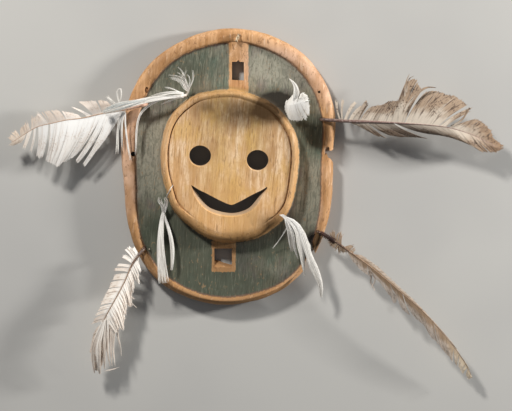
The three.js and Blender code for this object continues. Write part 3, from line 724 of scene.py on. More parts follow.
# Where the surface is paler (above nought) or darker. Part of this is rubbed paint and wood darkened with
# age, and part is painted light and painted shade: paler on the upper right of the ground and rim and on
# the left of the ring and rim, darker on the right and lower right of the ring and on the right of the rim,
# and the painted shadows that the disc and the upright plume cast. Then where it's darkened, partly by
# stains
# and partly by painted shadow. For each:
# the place of the middle, width, height and amount
WEAR_LIGHT_AND_SHADE = [
    (-52, 102, 34, 26, -0.7), (41, 112, 34, 22, 0.9), (-90, 6, 22, 46, 1), (-58, -88, 40, 34, -1.2),
    (4, -130, 50, 16, -1), (60, -108, 22, 16, 0.4), (90, -36, 18, 30, 1.1), (96, 96, 26, 28, 0.5),
    (112, -16, 14, 50, -0.6), (-108, -16, 10, 50, 1), (6, -146, 66, 10, -1.5), (-80, 92, 30, 24, -0.3),
    (48, -82, 22, 14, -1.6), (82, 46, 18, 20, -1.4), (42, 72, 18, 12, -1.4), (-72, 10, 7, 44, 1),
    (71, 12, 7, 44, -1), (46, -58, 20, 10, -1.2), (90, 6, 16, 22, 0.6), (1, -100, 14, 17, -0.9)]
# Partly stains and partly painted shadow: the upright plume's shadow over the forehead and beside it, shade
# on the ring's lower right and below it, and shade in the crack by the lashing
SOOT_AND_SHADOW = [
    (6, 60, 40, 16, 0.8), (45, 68, 20, 15, 1.1), (56, -60, 24, 14, 0.8), (24, -76, 24, 9, 0.5),
    (-34, 64, 16, 10, 0.4), (-50, -36, 14, 18, 0.16), (46, 75, 15, 9, 2.4), (100, -71, 8, 8, 1.7),
    (99, -84, 5, 5, 0.5), (93, -76, 5, 10, 1)]


def patches(rows, x, y):
    """How strongly soft round patches cover a place."""
    return sum(amount * math.exp(-((x - px) / wide) ** 2 - ((y - py) / tall) ** 2)
               for px, py, wide, tall, amount in rows)


def mouth(spread, lift):
    """The mouth's outline: spread moves its lower edge towards the cut bevel, lift its upper edge up."""
    left, right = MOUTH_ABOVE[0], MOUTH_ABOVE[-1]
    above = spline([(*spot(*p), 0) for p in MOUTH_ABOVE], 33)
    below = spline([(*spot(*p), 0) for p in (right, *MOUTH_BELOW, left)], 41)[1:-1]
    edge = spline([(*spot(*p), 0) for p in (right, *MOUTH_EDGE, left)], 41)[1:-1]
    top = [(p.x, p.y + lift * math.sin(i / 32 * math.pi)) for i, p in enumerate(above)]
    return top + [(mix(p.x, q.x, spread), mix(p.y, q.y, spread)) for p, q in zip(below, edge)]


def carving_tools():
    tools = [cutter([(z, oval(x, y, width, height, 64)) for z, y, width, height in EYE_LEVELS])
             for x in EYE_SIDES]
    tools.append(cutter([
        (UNDER, mouth(0, 0)), (FACE - 6, mouth(0, 0)), (FACE - 2.6, mouth(0.35, 0)),
        (FACE - 1, mouth(0.75, 0.15)), (FACE + 1.5, mouth(1, 0.8)), (OVER, mouth(1, 0.8))]))
    tools.append(cutter([(UNDER, TOP_HOLE), (OVER, TOP_HOLE)]))
    tools.append(cutter([
        (UNDER, BOTTOM_BEHIND), (4, BOTTOM_BEHIND), (12.5, BOTTOM_HOLE), (OVER, BOTTOM_HOLE)]))
    for x, y, width, height, bottom, wider, sides in HOLES:
        tools.append(cutter([
            (bottom, oval(x, y, width, height, sides)),
            (OVER, oval(x, y, width + wider, height + wider, sides))]))
    tools += [cutter([(UNDER, outline), (OVER, outline)]) for outline in (NOTCH, CRACK)]
    for name, shaft in SHAFTS.items():
        path = spline(shaft, 80)[:14]
        path[0] = path[0] - Vector((0, 0, 0.3))
        tools.append(tube(path, [QUILLS[name][0] + 0.35] * len(path), 16))
    return tools


def carved_mask():
    mask = turned_board()
    for tool in carving_tools():
        carve(mask, tool)
    smooth(mask, 38)

    layers = {name: [] for name in ("paint", "rim", "disc", "groove", "front", "cut", "wear_light_and_shade", "soot_and_shadow")}
    for v in mask.data.vertices:
        x, y, z = v.co
        angle, r = math.atan2(y, x) % math.tau, math.hypot(x, y)
        level = FACE - FACE_DISH * (1 - min(1, r / 68) ** 2)
        to_rim = around(RIM_INNER, angle) - 0.6 - r
        to_disc = r - around(DISC, angle) - 0.8
        above = inside((x, y), BAND_ABOVE)
        side = 1 - near_angle(angle, *BROW) - near_angle(angle, *CHIN)
        layers["paint"].append(min(to_rim, to_disc, -max(above, inside((x, y), BAND_BELOW))))
        layers["rim"].append(9 if above > 0 else to_rim)
        layers["disc"].append(to_disc)
        layers["groove"].append(side * max(0, 1 - abs(to_disc + 8.5) / 1.3))
        layers["front"].append(step_up(8, 10.5, z))
        layers["cut"].append(step_up(0.5, 1.4, level - z) if r < 66 else 0)
        # Wear, painted light and painted shade
        layers["wear_light_and_shade"].append(patches(WEAR_LIGHT_AND_SHADE, x, y))
        # Stains and painted shadow
        layers["soot_and_shadow"].append(patches(SOOT_AND_SHADOW, x, y))
    write_values(mask.data, layers)
    to_place(mask)
    return finish_piece(mask, "mask_carving", WOOD, "painted_wood", "mask")


carved_mask()

# ---- Feathers ----

WEB_THICKNESS = 0.22
STRAND_THICKNESS = 0.25
# A barb's points from its root to its tip, and the widths along a strand and along a wisp
BARB_STEPS = (0, 0.14, 0.28, 0.42, 0.56, 0.7, 0.82, 0.92, 1)
STRAND_WIDTHS = (0.8, 1, 1.1, 1.15, 1.15, 1.1, 1.1, 1, 0.95, 0.9, 0.8, 0.6, 0.25)
WISP_WIDTHS = (0.2, 0.4, 0.5, 0.5, 0.4, 0.15)
BARB_SPACING = 0.5
# How finely a shaft and the row of a clump's tips are divided
SHAFT_POINTS, TIP_POINTS = 200, 120


class Barbs:
    """A mesh of fine flat strands and of webs, the thin sheets of barbs that cling together. Each point
    knows how far along its barb it is, the barb's tone and place down the shaft, and how much it is
    darkened:
    painted shade where the barb is tucked under the next or lies between groups of strands, and a darker
    tone over some clumps."""

    def __init__(self):
        self.points, self.faces = [], []
        self.layers = {"along": [], "tone": [], "down": [], "tuck_shade_and_dark": []}

    def put(self, place, *numbers):
        self.points.append(metres(place))
        for values, number in zip(self.layers.values(), numbers):
            values.append(number)

    def strand(self, path, widths, thick, tone, down, tuck_shade_and_dark):
        first, last = len(self.points), len(path) - 1
        for k, (centre, width) in enumerate(zip(path, widths)):
            tangent = way_at(path, k)
            up = Vector((0, 0, 1)) - tangent * tangent.z
            up = up.normalized() if up.length > 0.2 else Vector((0, 1, 0))
            across = up.cross(tangent).normalized()
            for way in (across * width / 2, up * thick / 2, across * -width / 2, up * -thick / 2):
                self.put(centre + way, k / last, tone, down, tuck_shade_and_dark)
            if k:
                a = first + 4 * (k - 1)
                self.faces += [(a + i, a + (i + 1) % 4, a + 4 + (i + 1) % 4, a + 4 + i) for i in range(4)]
        end = first + 4 * last
        self.faces += [(first + 3, first + 2, first + 1, first), (end, end + 1, end + 2, end + 3)]

    def web(self, web):
        """A web is a row of barbs, each with its path, tone, place down the shaft and darkening, partly
        painted shade.
        """
        first, count, rows = len(self.points), len(web), len(web[0][0])
        sideways = web[-1][0][rows // 2] - web[0][0][rows // 2]
        if sideways.cross(web[0][0][-1] - web[0][0][0]).z < 0:
            web = web[::-1]
        for level in (WEB_THICKNESS / 2, -WEB_THICKNESS / 2):
            for c, (path, tone, down, tuck_shade_and_dark) in enumerate(web):
                for r, place in enumerate(path):
                    sideways = web[min(c + 1, count - 1)][0][r] - web[max(c - 1, 0)][0][r]
                    normal = sideways.cross(path[min(r + 1, rows - 1)] - path[max(r - 1, 0)])
                    normal = normal.normalized() if normal.length > 1e-5 else Vector((0, 0, 1))
                    self.put(place + normal * level, r / (rows - 1), tone, down, tuck_shade_and_dark)
        under = count * rows
        for c in range(count - 1):
            for r in range(rows - 1):
                a = first + c * rows + r
                quad = (a, a + rows, a + rows + 1, a + 1)
                self.faces += [quad, tuple(i + under for i in reversed(quad))]
        edge = [c * rows for c in range(count)] + [(count - 1) * rows + r for r in range(1, rows)]
        edge += [c * rows + rows - 1 for c in range(count - 2, -1, -1)] + list(range(rows - 2, 0, -1))
        self.faces += [(first + b, first + a, first + a + under, first + b + under)
                       for a, b in zip(edge, edge[1:] + edge[:1])]

    def piece(self, name):
        mesh = bpy.data.meshes.new(name)
        mesh.from_pydata(self.points, [], self.faces)
        write_values(mesh, self.layers)
        piece = bpy.data.objects.new(name, mesh)
        bpy.context.collection.objects.link(piece)
        return piece


def barbed_piece(name, strands, webs, material, slot, node):
    barbs = Barbs()
    for strand in strands:
        barbs.strand(*strand)
    for web in webs:
        barbs.web(web)
    return finish_piece(barbs.piece(name), name, material, slot, node)


def barb_curve(root, tip, shaft_way, reach, swell, rise):
    """A barb's points: it bows back towards the quill by a share of its reach, and rises in its middle."""
    chord = tip - root
    side = Vector((-chord.y, chord.x, 0)).normalized()
    if side.dot(shaft_way) > 0:
        side = -side
    belly = root.lerp(tip, 0.5) + side * reach * swell
    belly.z += rise
    return [root * (1 - t) ** 2 + belly * (2 * t * (1 - t)) + tip * t ** 2 for t in BARB_STEPS]


def loose_end(rng, line, ragged):
    """A wisp that parts from a barb's last stretch and sticks out past its tip."""
    way = (line[-1] - line[-3]).normalized()
    way += Vector((rng.uniform(-1, 1), rng.uniform(-1, 1), rng.uniform(-0.5, 0.5))) * 0.55
    far = line[-1] + way * rng.uniform(0.4, 1.2 + 2.4 * ragged)
    return [*line[-4:], line[-1].lerp(far, 0.5), far]


def vane(shaft, clumps, seed, droop, loose=1.0):
    """Webs of clinging barbs on both sides, and loose wisps at their ends. A clump is the stretch of shaft
    that it grows from, where its barbs' tips are in the photo, how ragged it is and how densely it grows,
    and for some how dark it is all over."""
    rng = random.Random(seed)
    path = spline(shaft, SHAFT_POINTS + 1)
    length = sum((b - a).length for a, b in zip(path, path[1:]))
    webs, wisps = [], []
    for start, end, tips, ragged, dense, *dim in clumps:
        ends = spline([(*spot(*tip), 0) for tip in tips], TIP_POINTS + 1)
        broad = max((end - start) * length, (ends[-1] - ends[0]).length * 0.7)
        count = max(3, round(broad / BARB_SPACING * dense))
        done = 0
        while done < count:
            size = min(count - done, rng.randint(3, 7 + round(26 * (1 - ragged) ** 2)))
            if count - done - size < 3:
                size = count - done
            middle = (done + size / 2) / count
            gather = rng.uniform(0, 0.06) + (rng.uniform(0.1, 0.4) if rng.random() < 0.9 * ragged else 0)
            lift, bow = 0.3 + 1.6 * ragged, rng.uniform(-1, 1)
            height, tucked = rng.uniform(-0.5, 0.5), rng.random() < 0.35 + 0.4 * ragged
            shade = rng.random() ** 2
            short = rng.uniform(0, 0.01 + 0.14 * ragged) * loose
            web = []
            for n in range(size):
                f = (done + size * n / max(1, size - 1)) / count
                u = min(0.999, max(0, mix(start, end, f)))
                k = int(u * SHAFT_POINTS)
                root = path[k].lerp(path[k + 1], u * SHAFT_POINTS - k)
                place = min(TIP_POINTS - 0.001, mix(f, middle, gather * loose) * TIP_POINTS)
                tip = ends[int(place)].lerp(ends[int(place) + 1], place % 1)
                tip.z = root.z
                reach = (tip - root).length
                within = n / max(1, size - 1) - 0.5
                tip.z += (height + within) * lift * loose - droop * reach
                tip = root.lerp(tip, 1 - short - (0.03 + 0.16 * ragged) * rng.random() ** 2)
                line = barb_curve(
                    root, tip, (path[k + 1] - path[k]).normalized(), reach, 0.08 + 0.06 * ragged * bow,
                    0.05 * reach + within * 0.6 * lift * loose)
                tone = min(1, max(0, 0.55 * shade + 0.45 * rng.random()))
                # Painted shade on the barbs at one edge of a web, where it is tucked under the next
                tuck_shade_and_dark = max(0, within * 2) ** 4 * tucked * min(1, 0.4 + loose * 0.5)
                web.append((line, tone, u, max([tuck_shade_and_dark, *dim])))
                if rng.random() < 0.12 + 0.7 * ragged * loose:
                    wisps.append((loose_end(rng, line, ragged), WISP_WIDTHS, 0.24, tone, u, max([0, *dim])))
            webs.append(web)
            done += size
    return wisps, webs


def shaft_piece(name, shaft, quill, thin, material, slot):
    """The shaft, round at the quill and soon thinner between the barbs."""
    count = 80
    path = spline(shaft, count)
    shares = [i / (count - 1) for i in range(count)]
    piece = tube(path, [quill * mix(1, mix(0.42, 0.18, f), step_up(0.05, thin, f)) for f in shares], 12)
    nearest = [min(range(count), key=lambda k: (path[k] - v.co).length_squared)
               for v in piece.data.vertices]
    write_values(piece.data, {"down": [shares[k] for k in nearest]})
    to_place(piece)
    smooth(piece, 60)
    return finish_piece(piece, name, material, slot)


# Each large feather: its finish, slot, shaft's finish and droop, then its clumps, first those on its outer
# side from quill to tip and then those on the other side
FEATHERS = {
    "feather_upper_right": (MOTTLED, "mottled_feather", GREY_HORN, 0.1, [
        (0.148, 0.156, [(334.6, 98.6), (336.6, 99)], 0.6, 1.2),
        (0.158, 0.166, [(341.6, 99.6), (344, 99)], 0.6, 1.2),
        (0.168, 0.182, [(353.4, 100.6), (357.4, 101.6)], 0.4, 1.2),
        (0.19, 0.212, [(359.6, 105.4), (363, 106.6)], 0.6, 1),
        (0.215, 0.245, [(365.6, 99), (367.8, 98), (368.6, 104)], 0.6, 1, 0.5),
        (0.246, 0.414, [(370, 107), (376, 105), (383, 104), (388, 101), (396, 100.4), (400, 99.6),
                        (402, 96)], 0.1, 1, 0.1),
        (0.415, 0.478, [(403.4, 88), (405, 82.6), (410, 79), (415, 78.6), (419, 84), (422, 89.6)],
         0.1, 1, 0.2),
        (0.48, 0.652, [(424, 92), (431, 90.4), (440, 90.6), (446, 93.6), (452, 94), (458, 97.4),
                       (462, 100.4),
                        (466.4, 105)], 0.08, 1, 0.1),
        (0.655, 0.69, [(468.6, 107.6), (471, 107), (468.6, 112)], 0.3, 0.8),
        (0.705, 0.995, [(463, 122), (470, 119.6), (477, 118.4), (482, 122), (487, 126), (491, 131),
                        (492.4, 137), (497, 141), (503, 145.6)], 0.22, 1.1, 0.2),
        (0.19, 0.283, [(357, 125), (368, 131), (377, 136), (386, 138)], 0.2, 1, 0.6),
        (0.285, 0.416, [(388, 135), (400, 137), (411, 137), (428, 138.6)], 0.12, 1, 0.7),
        (0.425, 0.56, [(430, 134), (441, 135.4), (452, 137.6)], 0.1, 1, 0.9),
        (0.56, 0.7, [(453, 138), (461, 141), (468, 144), (475, 147.6)], 0.1, 1, 0.7),
        (0.7, 0.85, [(476, 148), (481, 151.6), (488, 152)], 0.2, 1.1, 0.3),
        (0.85, 0.995, [(489, 151.6), (496, 152), (503, 147)], 0.3, 1.1, 0.3)]),
    "feather_upper_left": (WHITE, "white_feather", PALE_HORN, 0.1, [
        (0.28, 0.36, [(112, 106), (108, 101.6), (103, 100), (98, 100)], 0.2, 1, 1.1),
        (0.362, 0.42, [(96, 100.4), (90, 100.8), (84, 101), (78.6, 101.4)], 0.15, 1, 0.9),
        (0.43, 0.46, [(71, 106), (74, 108)], 0.3, 0.6, 0.4),
        (0.5, 0.6, [(78, 114), (70, 112), (62, 110.4)], 0.12, 1, 0.8),
        (0.602, 0.72, [(60, 110.2), (50, 110), (46, 110.6), (42, 112)], 0.2, 1, 1.1),
        (0.72, 0.85, [(40, 112), (37, 114), (32, 119)], 0.7, 0.7, 0.8),
        (0.85, 0.93, [(28, 121), (24, 125), (20, 128)], 0.8, 0.7, 0.5),
        (0.93, 0.995, [(16, 130), (11, 135), (9, 139)], 0.5, 1),
        (0.225, 0.325, [(88.4, 160), (85, 166.5), (82.4, 165)], 0.06, 1),
        (0.315, 0.365, [(80.4, 161), (77.4, 163), (75.4, 161.4)], 0.08, 1),
        (0.355, 0.45, [(87, 140), (81, 149.6), (74, 157), (67, 161)], 0.08, 1),
        (0.45, 0.71, [(66, 161.5), (62, 164), (58, 166.5), (52, 164), (46, 161)], 0.15, 1),
        (0.72, 0.79, [(43.5, 158.5), (40, 158), (37, 156.5)], 0.3, 1),
        (0.805, 0.825, [(32.5, 152.5), (30, 152.5)], 0.3, 0.9),
        (0.835, 0.875, [(26.5, 148), (23, 147)], 0.6, 0.9),
        (0.88, 0.995, [(22, 142.5), (17, 144), (13, 145.5), (10, 144)], 0.35, 1)]),
    "feather_lower_left": (CREAM, "white_feather", DARK_HORN, 0.1, [
        (0.13, 0.152, [(133.6, 245.6), (131.6, 247)], 0.6, 1),
        (0.15, 0.185, [(129, 245), (127, 247), (124, 249.5)], 0.6, 1),
        (0.18, 0.205, [(123.6, 253), (121.4, 257)], 0.5, 1),
        (0.21, 0.232, [(118.4, 263.6), (116.4, 266)], 0.2, 1, 0.2),
        (0.234, 0.262, [(115, 268), (114.4, 270.6)], 0.2, 1, 0.3),
        (0.272, 0.318, [(114.6, 274.4), (112.6, 280)], 0.15, 1, 0.3),
        (0.32, 0.372, [(111.6, 281.6), (109, 288)], 0.15, 1, 0.2),
        (0.374, 0.492, [(108.6, 289), (104.6, 296), (100.4, 304.8)], 0.12, 1),
        (0.5, 0.533, [(100, 306.6), (98.2, 310.6)], 0.15, 1, 0.2),
        (0.535, 0.572, [(97.8, 311.4), (95.4, 316.4)], 0.15, 1, 0.2),
        (0.574, 0.635, [(95, 317.4), (93.4, 321), (91.4, 323.6)], 0.15, 1, 0.3),
        (0.65, 0.86, [(96.6, 328), (93.4, 334), (91.6, 344), (89.8, 352.4)], 0.2, 1, 0.4),
        (0.86, 0.99, [(91.4, 356), (92, 363), (93.4, 370)], 0.3, 1, 0.2),
        (0.13, 0.19, [(138, 262), (141, 269), (141, 273.6)], 0.35, 1.3),
        (0.16, 0.235, [(139, 275), (139.6, 284), (137, 283)], 0.7, 1.2),
        (0.19, 0.3, [(133.4, 284), (134.6, 288), (133, 293)], 0.5, 1.2),
        (0.24, 0.38, [(132, 300), (131.8, 309), (128, 305)], 0.6, 1.2),
        (0.3, 0.45, [(129, 298), (127.4, 309), (125.6, 315)], 0.5, 1.2),
        (0.4, 0.53, [(125.4, 318), (123.4, 330), (121, 330)], 0.4, 1.2),
        (0.46, 0.62, [(120, 322), (118, 330), (116, 333)], 0.4, 1.2),
        (0.58, 0.76, [(115, 330), (112.4, 336), (110, 340)], 0.5, 1.2, 0.5),
        (0.7, 0.86, [(109.4, 340), (107.4, 348), (105, 352)], 0.5, 1.2, 0.5),
        (0.8, 0.99, [(104, 352), (103, 360), (101, 367)], 0.4, 1.2, 0.4)]),
    "feather_lower_right": (GREY, "mottled_feather", DARK_HORN, 0.18, [
        (0.125, 0.15, [(329, 233), (332, 230.5), (335, 230)], 0.9, 0.9, 0.7),
        (0.14, 0.17, [(337, 233), (340, 231), (343, 236)], 1, 0.7, 0.6),
        (0.18, 0.23, [(350, 244), (356, 249)], 0.5, 0.8, 1),
        (0.235, 0.95, [(362, 255), (368, 259), (375, 264), (380, 268.2), (390, 277.5), (400, 287),
                       (411, 297),
                       (420, 306), (430, 317), (441, 329), (449, 338.5), (455, 346), (461, 356), (466, 363),
                       (470, 370)], 0.12, 1, 1.2),
        (0.115, 0.16, [(328, 240), (331, 246), (336, 250)], 0.6, 1.1, 0.7),
        (0.145, 0.2, [(338, 251.5), (343, 252), (347, 251.5)], 0.6, 1.1, 0.5),
        (0.2, 0.255, [(348.5, 253.5), (352, 259.5), (357, 265.5)], 0.15, 1),
        (0.25, 0.31, [(357.5, 266.5), (362, 271), (368.5, 275.5)], 0.15, 1),
        (0.31, 0.33, [(369.5, 276), (372.5, 274.5), (375.5, 278.5)], 0.1, 1),
        (0.33, 0.422, [(376, 279), (381, 284), (386, 291), (393, 299)], 0.12, 1),
        (0.422, 0.435, [(393.5, 303.5), (396, 302), (396.6, 297)], 0.1, 1),
        (0.436, 0.51, [(397.6, 296.5), (399.6, 302), (401.5, 308), (405, 311.5), (410.5, 315.5)], 0.1, 1),
        (0.512, 0.7, [(412.5, 314.5), (417, 319.5), (421, 322.6), (425, 326.6), (428, 332), (431.5, 338),
                      (436, 341.5), (439, 345)], 0.1, 1),
        (0.701, 0.842, [(440, 345.5), (443, 350), (446.5, 353.5), (449.5, 357), (452.5, 362)], 0.12, 1),
        (0.84, 0.955, [(454.5, 362), (457, 366), (460, 368.6), (463, 374)], 0.15, 1),
        (0.955, 0.995, [(466.3, 375), (469.5, 379), (472.8, 378)], 0.4, 1)]),
}


def bundle(route, count, seed, wisps=0.2, width=0.5, grey=0):
    """Downy strands that run together. Each point of their route is a pixel of the photo, a height and how
    broad the bundle is there; wisps is how far they sway, and grey moves them along the feather's tints."""
    rng = random.Random(seed)
    middle = spline([(*spot(px, py), height) for px, py, height, _ in route], 13)
    wide = spline([(breadth, 0, 0) for *_, breadth in route], 13)
    lines = []
    for i in range(count):
        lane = rng.uniform(-1, 1) if count > 4 else (i / max(1, count - 1)) * 2 - 1
        depth = rng.uniform(-1, 1)
        stop = 1 - 0.3 * rng.random() ** 2 * (1 if count > 4 else 0)
        phase, sway = rng.uniform(0, 6.3), rng.uniform(0.2, 1) * wisps
        line = []
        for k in range(13):
            t = k / 12 * stop
            j = min(11, int(t * 12))
            centre = middle[j].lerp(middle[j + 1], t * 12 - j)
            tangent = (middle[j + 1] - middle[j]).normalized()
            side = tangent.cross(Vector((0, 0, 1))).normalized()
            w = mix(wide[j].x, wide[j + 1].x, t * 12 - j) / 2
            drift = math.sin(phase + t * 7) * sway
            line.append(centre + side * (lane * w + drift) + Vector((0, 0, depth * min(1.2, w * 0.4))))
        widths = [width * w for w in STRAND_WIDTHS]
        # Some strands are darkened at random: painted shade between groups of strands
        tone, down, tuck_shade_and_dark = 0.7 * rng.random(), rng.uniform(0.3, 0.78) + grey, rng.random() ** 4
        lines.append((line, widths, STRAND_THICKNESS, tone, down, tuck_shade_and_dark))
    return lines


# Long loose barbs of the large feathers
LONG_BARBS = {
    "feather_lower_right": [
        bundle([(369, 270, 27, 2), (371, 276, 25, 1.6), (370.6, 282, 23, 1), (372, 285, 22, 1.4),
                (374.5, 290.5, 20, 0.6)], 8, 71),
        bundle([(371, 271, 27, 2), (374, 276, 25, 1.2), (375, 280, 24, 1), (373, 284.5, 23, 1.2),
                (371, 289, 21, 0.6)], 6, 72)],
    "feather_lower_left": [
        bundle([(103, 321, 31, 1), (98, 333, 30, 3), (94, 345, 28, 4), (93, 358, 25, 3.4),
                (94.5, 373, 20, 0.8)], 60, 73, 0.2, 0.75, grey=-0.1),
        bundle([(105, 319, 31.5, 1), (102, 331, 31, 4), (98.6, 345, 30, 5.8), (98.6, 360, 27, 5.4),
                (99.8, 374, 20, 1.8)], 110, 74, 0.2, 0.75, grey=-0.36),
        bundle([(106, 318, 31, 1), (104.6, 332, 30, 2.5), (104.4, 346, 28, 3), (104.8, 358, 25, 2.6),
                (104.6, 369, 21, 1)], 30, 75, 0.3, 0.55),
        bundle([(108, 314, 30, 1), (108, 330, 29, 3), (107.6, 344, 27, 2.6), (108.6, 356, 25, 2),
                (110, 366, 22, 0.8)], 26, 76, 0.3, 0.55),
        bundle([(110, 310, 29, 1), (111.5, 326, 28, 3), (111, 342, 26, 2), (111.4, 356, 24, 1.6),
                (112, 366, 22, 0.8)], 18, 77, 0.3),
        bundle([(111, 308, 29, 1), (114.5, 324, 28, 3), (113.6, 340, 26, 1.6), (114, 354, 24, 1.4),
                (115.4, 366, 22, 0.8)], 14, 78, 0.3),
        bundle([(112, 306, 29, 1), (117.6, 320, 27, 2), (117.6, 334, 25, 2.2), (120, 344, 23, 1.6),
                (121.4, 356, 20, 0.8)], 14, 79),
        bundle([(103.5, 371, 19, 1), (108, 370.4, 19.5, 1.1), (114, 369, 20, 1.1), (120, 367, 20.5, 0.9)],
                5, 80, 0.1),
        bundle([(127, 292, 24, 1), (130, 300, 23, 1), (134, 305, 22, 0.8), (137, 307.6, 21, 0.4)], 4, 81,
                0.1, 0.4),
        bundle([(126, 290, 24, 1), (131, 296, 23, 0.8), (135, 299, 22, 0.5)], 3, 82, 0.1, 0.4)],
    "feather_upper_right": [
        bundle([(404, 110, 33, 1), (408, 103, 33.5, 2.4), (414, 96, 34, 3), (421, 89.5, 34, 2.6),
                (428, 86.8, 33.5, 1.4), (435, 87.4, 33, 0.6)], 26, 83, 0.2, 0.6),
        bundle([(404, 96, 33, 1), (404.5, 88, 34, 0.9), (405.5, 81, 34.5, 0.7), (408.6, 74, 34, 0.4)], 4,
                84, 0.3, 0.4),
        bundle([(406, 92, 33, 1), (406.5, 84, 34, 0.9), (409, 78, 34.5, 0.7), (413, 76, 34, 0.4)], 4, 85,
                0.3, 0.4),
        bundle([(450, 126, 30, 1), (459, 121, 30.5, 1.8), (465, 114, 31, 1.6), (468.6, 107, 30.5, 0.8)],
                14, 86)],
    "feather_upper_left": [],
}
for number, (name, (finish, slot, horn, droop, clumps)) in enumerate(FEATHERS.items()):
    wisps, webs = vane(SHAFTS[name], clumps, 11 + number, droop)
    wisps += [line for group in LONG_BARBS[name] for line in group]
    barbed_piece(name + "_vane", wisps, webs, finish, slot, name)
    shaft_piece(name + "_shaft", SHAFTS[name], *QUILLS[name], horn, slot)


def plume(name, groups, webs=()):
    """A small downy feather made of bundles, and for one also of webs."""
    strands = [line for group in groups for line in group]
    barbed_piece(name + "_down", strands, webs, DOWN, "white_feather", name)


plume("small_feather_upper_left", [
    bundle([(187, 95, 8, 1), (187, 95, 16, 1.4), (180, 96, 22, 1.8), (165, 97.5, 26, 2.4),
            (150, 99.5, 28, 2.8), (135, 103, 29, 4), (120, 107, 30, 6.5), (104, 112, 31, 9)], 56, 1, 0.3,
            0.55),
    bundle([(148, 99, 29, 1), (136, 101.6, 30, 5), (124, 104.4, 31, 8), (114, 107.4, 31.6, 8),
            (103, 112, 31.8, 4)], 54, 63, 0.2, 0.6, grey=0.6),
    bundle([(167, 98, 26, 1.5), (158, 101, 25, 2), (149, 106, 24, 3), (141, 114, 23, 3.5),
            (137.5, 130, 22, 3), (136.5, 155, 22, 2)], 12, 2, 0.4),
    bundle([(184, 93.5, 22, 1), (179, 92.5, 26, 3.5), (171, 92.5, 27, 4), (160, 94.5, 27, 3),
            (148, 98, 27, 2)], 16, 60, 0.4, 0.45),
    bundle([(183, 93, 22, 0.6), (178, 91, 25, 0.6), (172, 88.5, 27, 0.8), (165, 87, 28, 1)], 3, 61, 0.2,
            0.4),
    bundle([(184, 97, 22, 0.6), (177, 98.5, 21, 1), (170, 101, 20, 1), (161, 104, 20, 1)], 4, 62, 0.3, 0.4),
    *[bundle([(186, 95, 16, 1), (188.3, 92, 19, 1.2), *((*p, *end) for p, end in zip(
          line, [(22, 1.2), (24, 1.2), (26, 1.1), (28, 1)]))], 3, 20 + k, 0.3, 0.36)
      for k, line in enumerate([
          [(188.5, 87), (186.3, 81), (184.4, 75), (182.5, 71.3)],
          [(187.6, 86.5), (185.6, 80), (184.8, 75), (187, 70)],
          [(186.4, 87), (183.6, 80.5), (179, 76.5), (169, 75)],
          [(185.6, 87.5), (183.2, 82.5), (178.5, 79), (170, 77.2)],
          [(184.2, 88), (182.2, 84), (178.5, 81), (171, 78.6)],
          [(187.2, 86), (184.2, 79), (180.5, 74), (177.5, 72.5)],
          [(186.6, 85), (184, 77), (182, 71), (178.5, 67)],
          [(185, 88), (182.8, 81), (181.3, 78), (184.3, 74.5)],
          [(189.8, 88), (191.8, 83.5), (193.4, 78), (193, 70)],
          [(189, 87), (190, 82), (189.5, 77), (187.5, 74.5)]])],
    bundle([(122, 110, 26, 1), (119, 100, 28, 1), (118, 90, 30, 1), (121, 88, 31, 1), (122, 94, 31, 1),
            (121, 101, 30, 1)], 4, 41, 0.2, 0.55),
    bundle([(120, 110, 26, 1), (116, 104, 28, 2), (110, 99, 29, 3), (107, 96, 29, 4)], 8, 42, 0.4, 0.55),
    bundle([(124, 112, 27, 1), (120, 120, 24, 2), (118, 135, 22, 3), (117, 154, 21, 3)], 12, 43, 0.6, 0.55),
    bundle([(125, 112, 27, 1), (123, 120, 24, 1.5), (122, 135, 22, 2), (123, 151, 21, 2)], 7, 44, 0.6,
            0.55),
    bundle([(126, 112, 27, 1), (126, 125, 25, 1), (128, 142, 23, 1.5), (131, 160, 22, 2)], 6, 45, 0.6,
            0.55)])
plume("small_feather_lower_left", [
    bundle([(166, 207, 6, 1), (165.5, 207.5, 14, 1.5), (163.5, 212, 18, 3), (161.5, 225, 19.5, 4),
            (160.5, 240, 20, 5.5), (161, 255, 20.5, 7), (162.5, 270, 21.5, 9), (164, 283, 23, 12)], 110, 3,
            0.2, 0.65),
    bundle([(165, 209, 15, 1), (164, 214, 18, 1.5), (168, 226, 19, 3), (171, 238, 20, 4),
            (172.5, 250, 21, 4.5), (172.5, 262, 22, 4), (171.5, 270, 22, 2.5)], 44, 4, 0.2, 0.65),
    bundle([(163.5, 214, 18, 2), (163, 206, 20, 3), (160, 200, 21, 4), (161, 197, 21, 4)], 10, 5, 0.6,
            0.55),
    bundle([(165, 212, 18, 2), (166, 205, 20, 3), (166, 200, 22, 4), (164, 197, 22, 3)], 10, 6, 0.6, 0.55),
    bundle([(167, 207, 16, 0.8), (168, 200, 20, 0.6), (167, 196, 24, 0.5), (168.5, 193, 28, 0.5),
            (171, 188, 31, 0.5), (173.5, 184.5, 27, 0.5)], 3, 7, 0.1)])
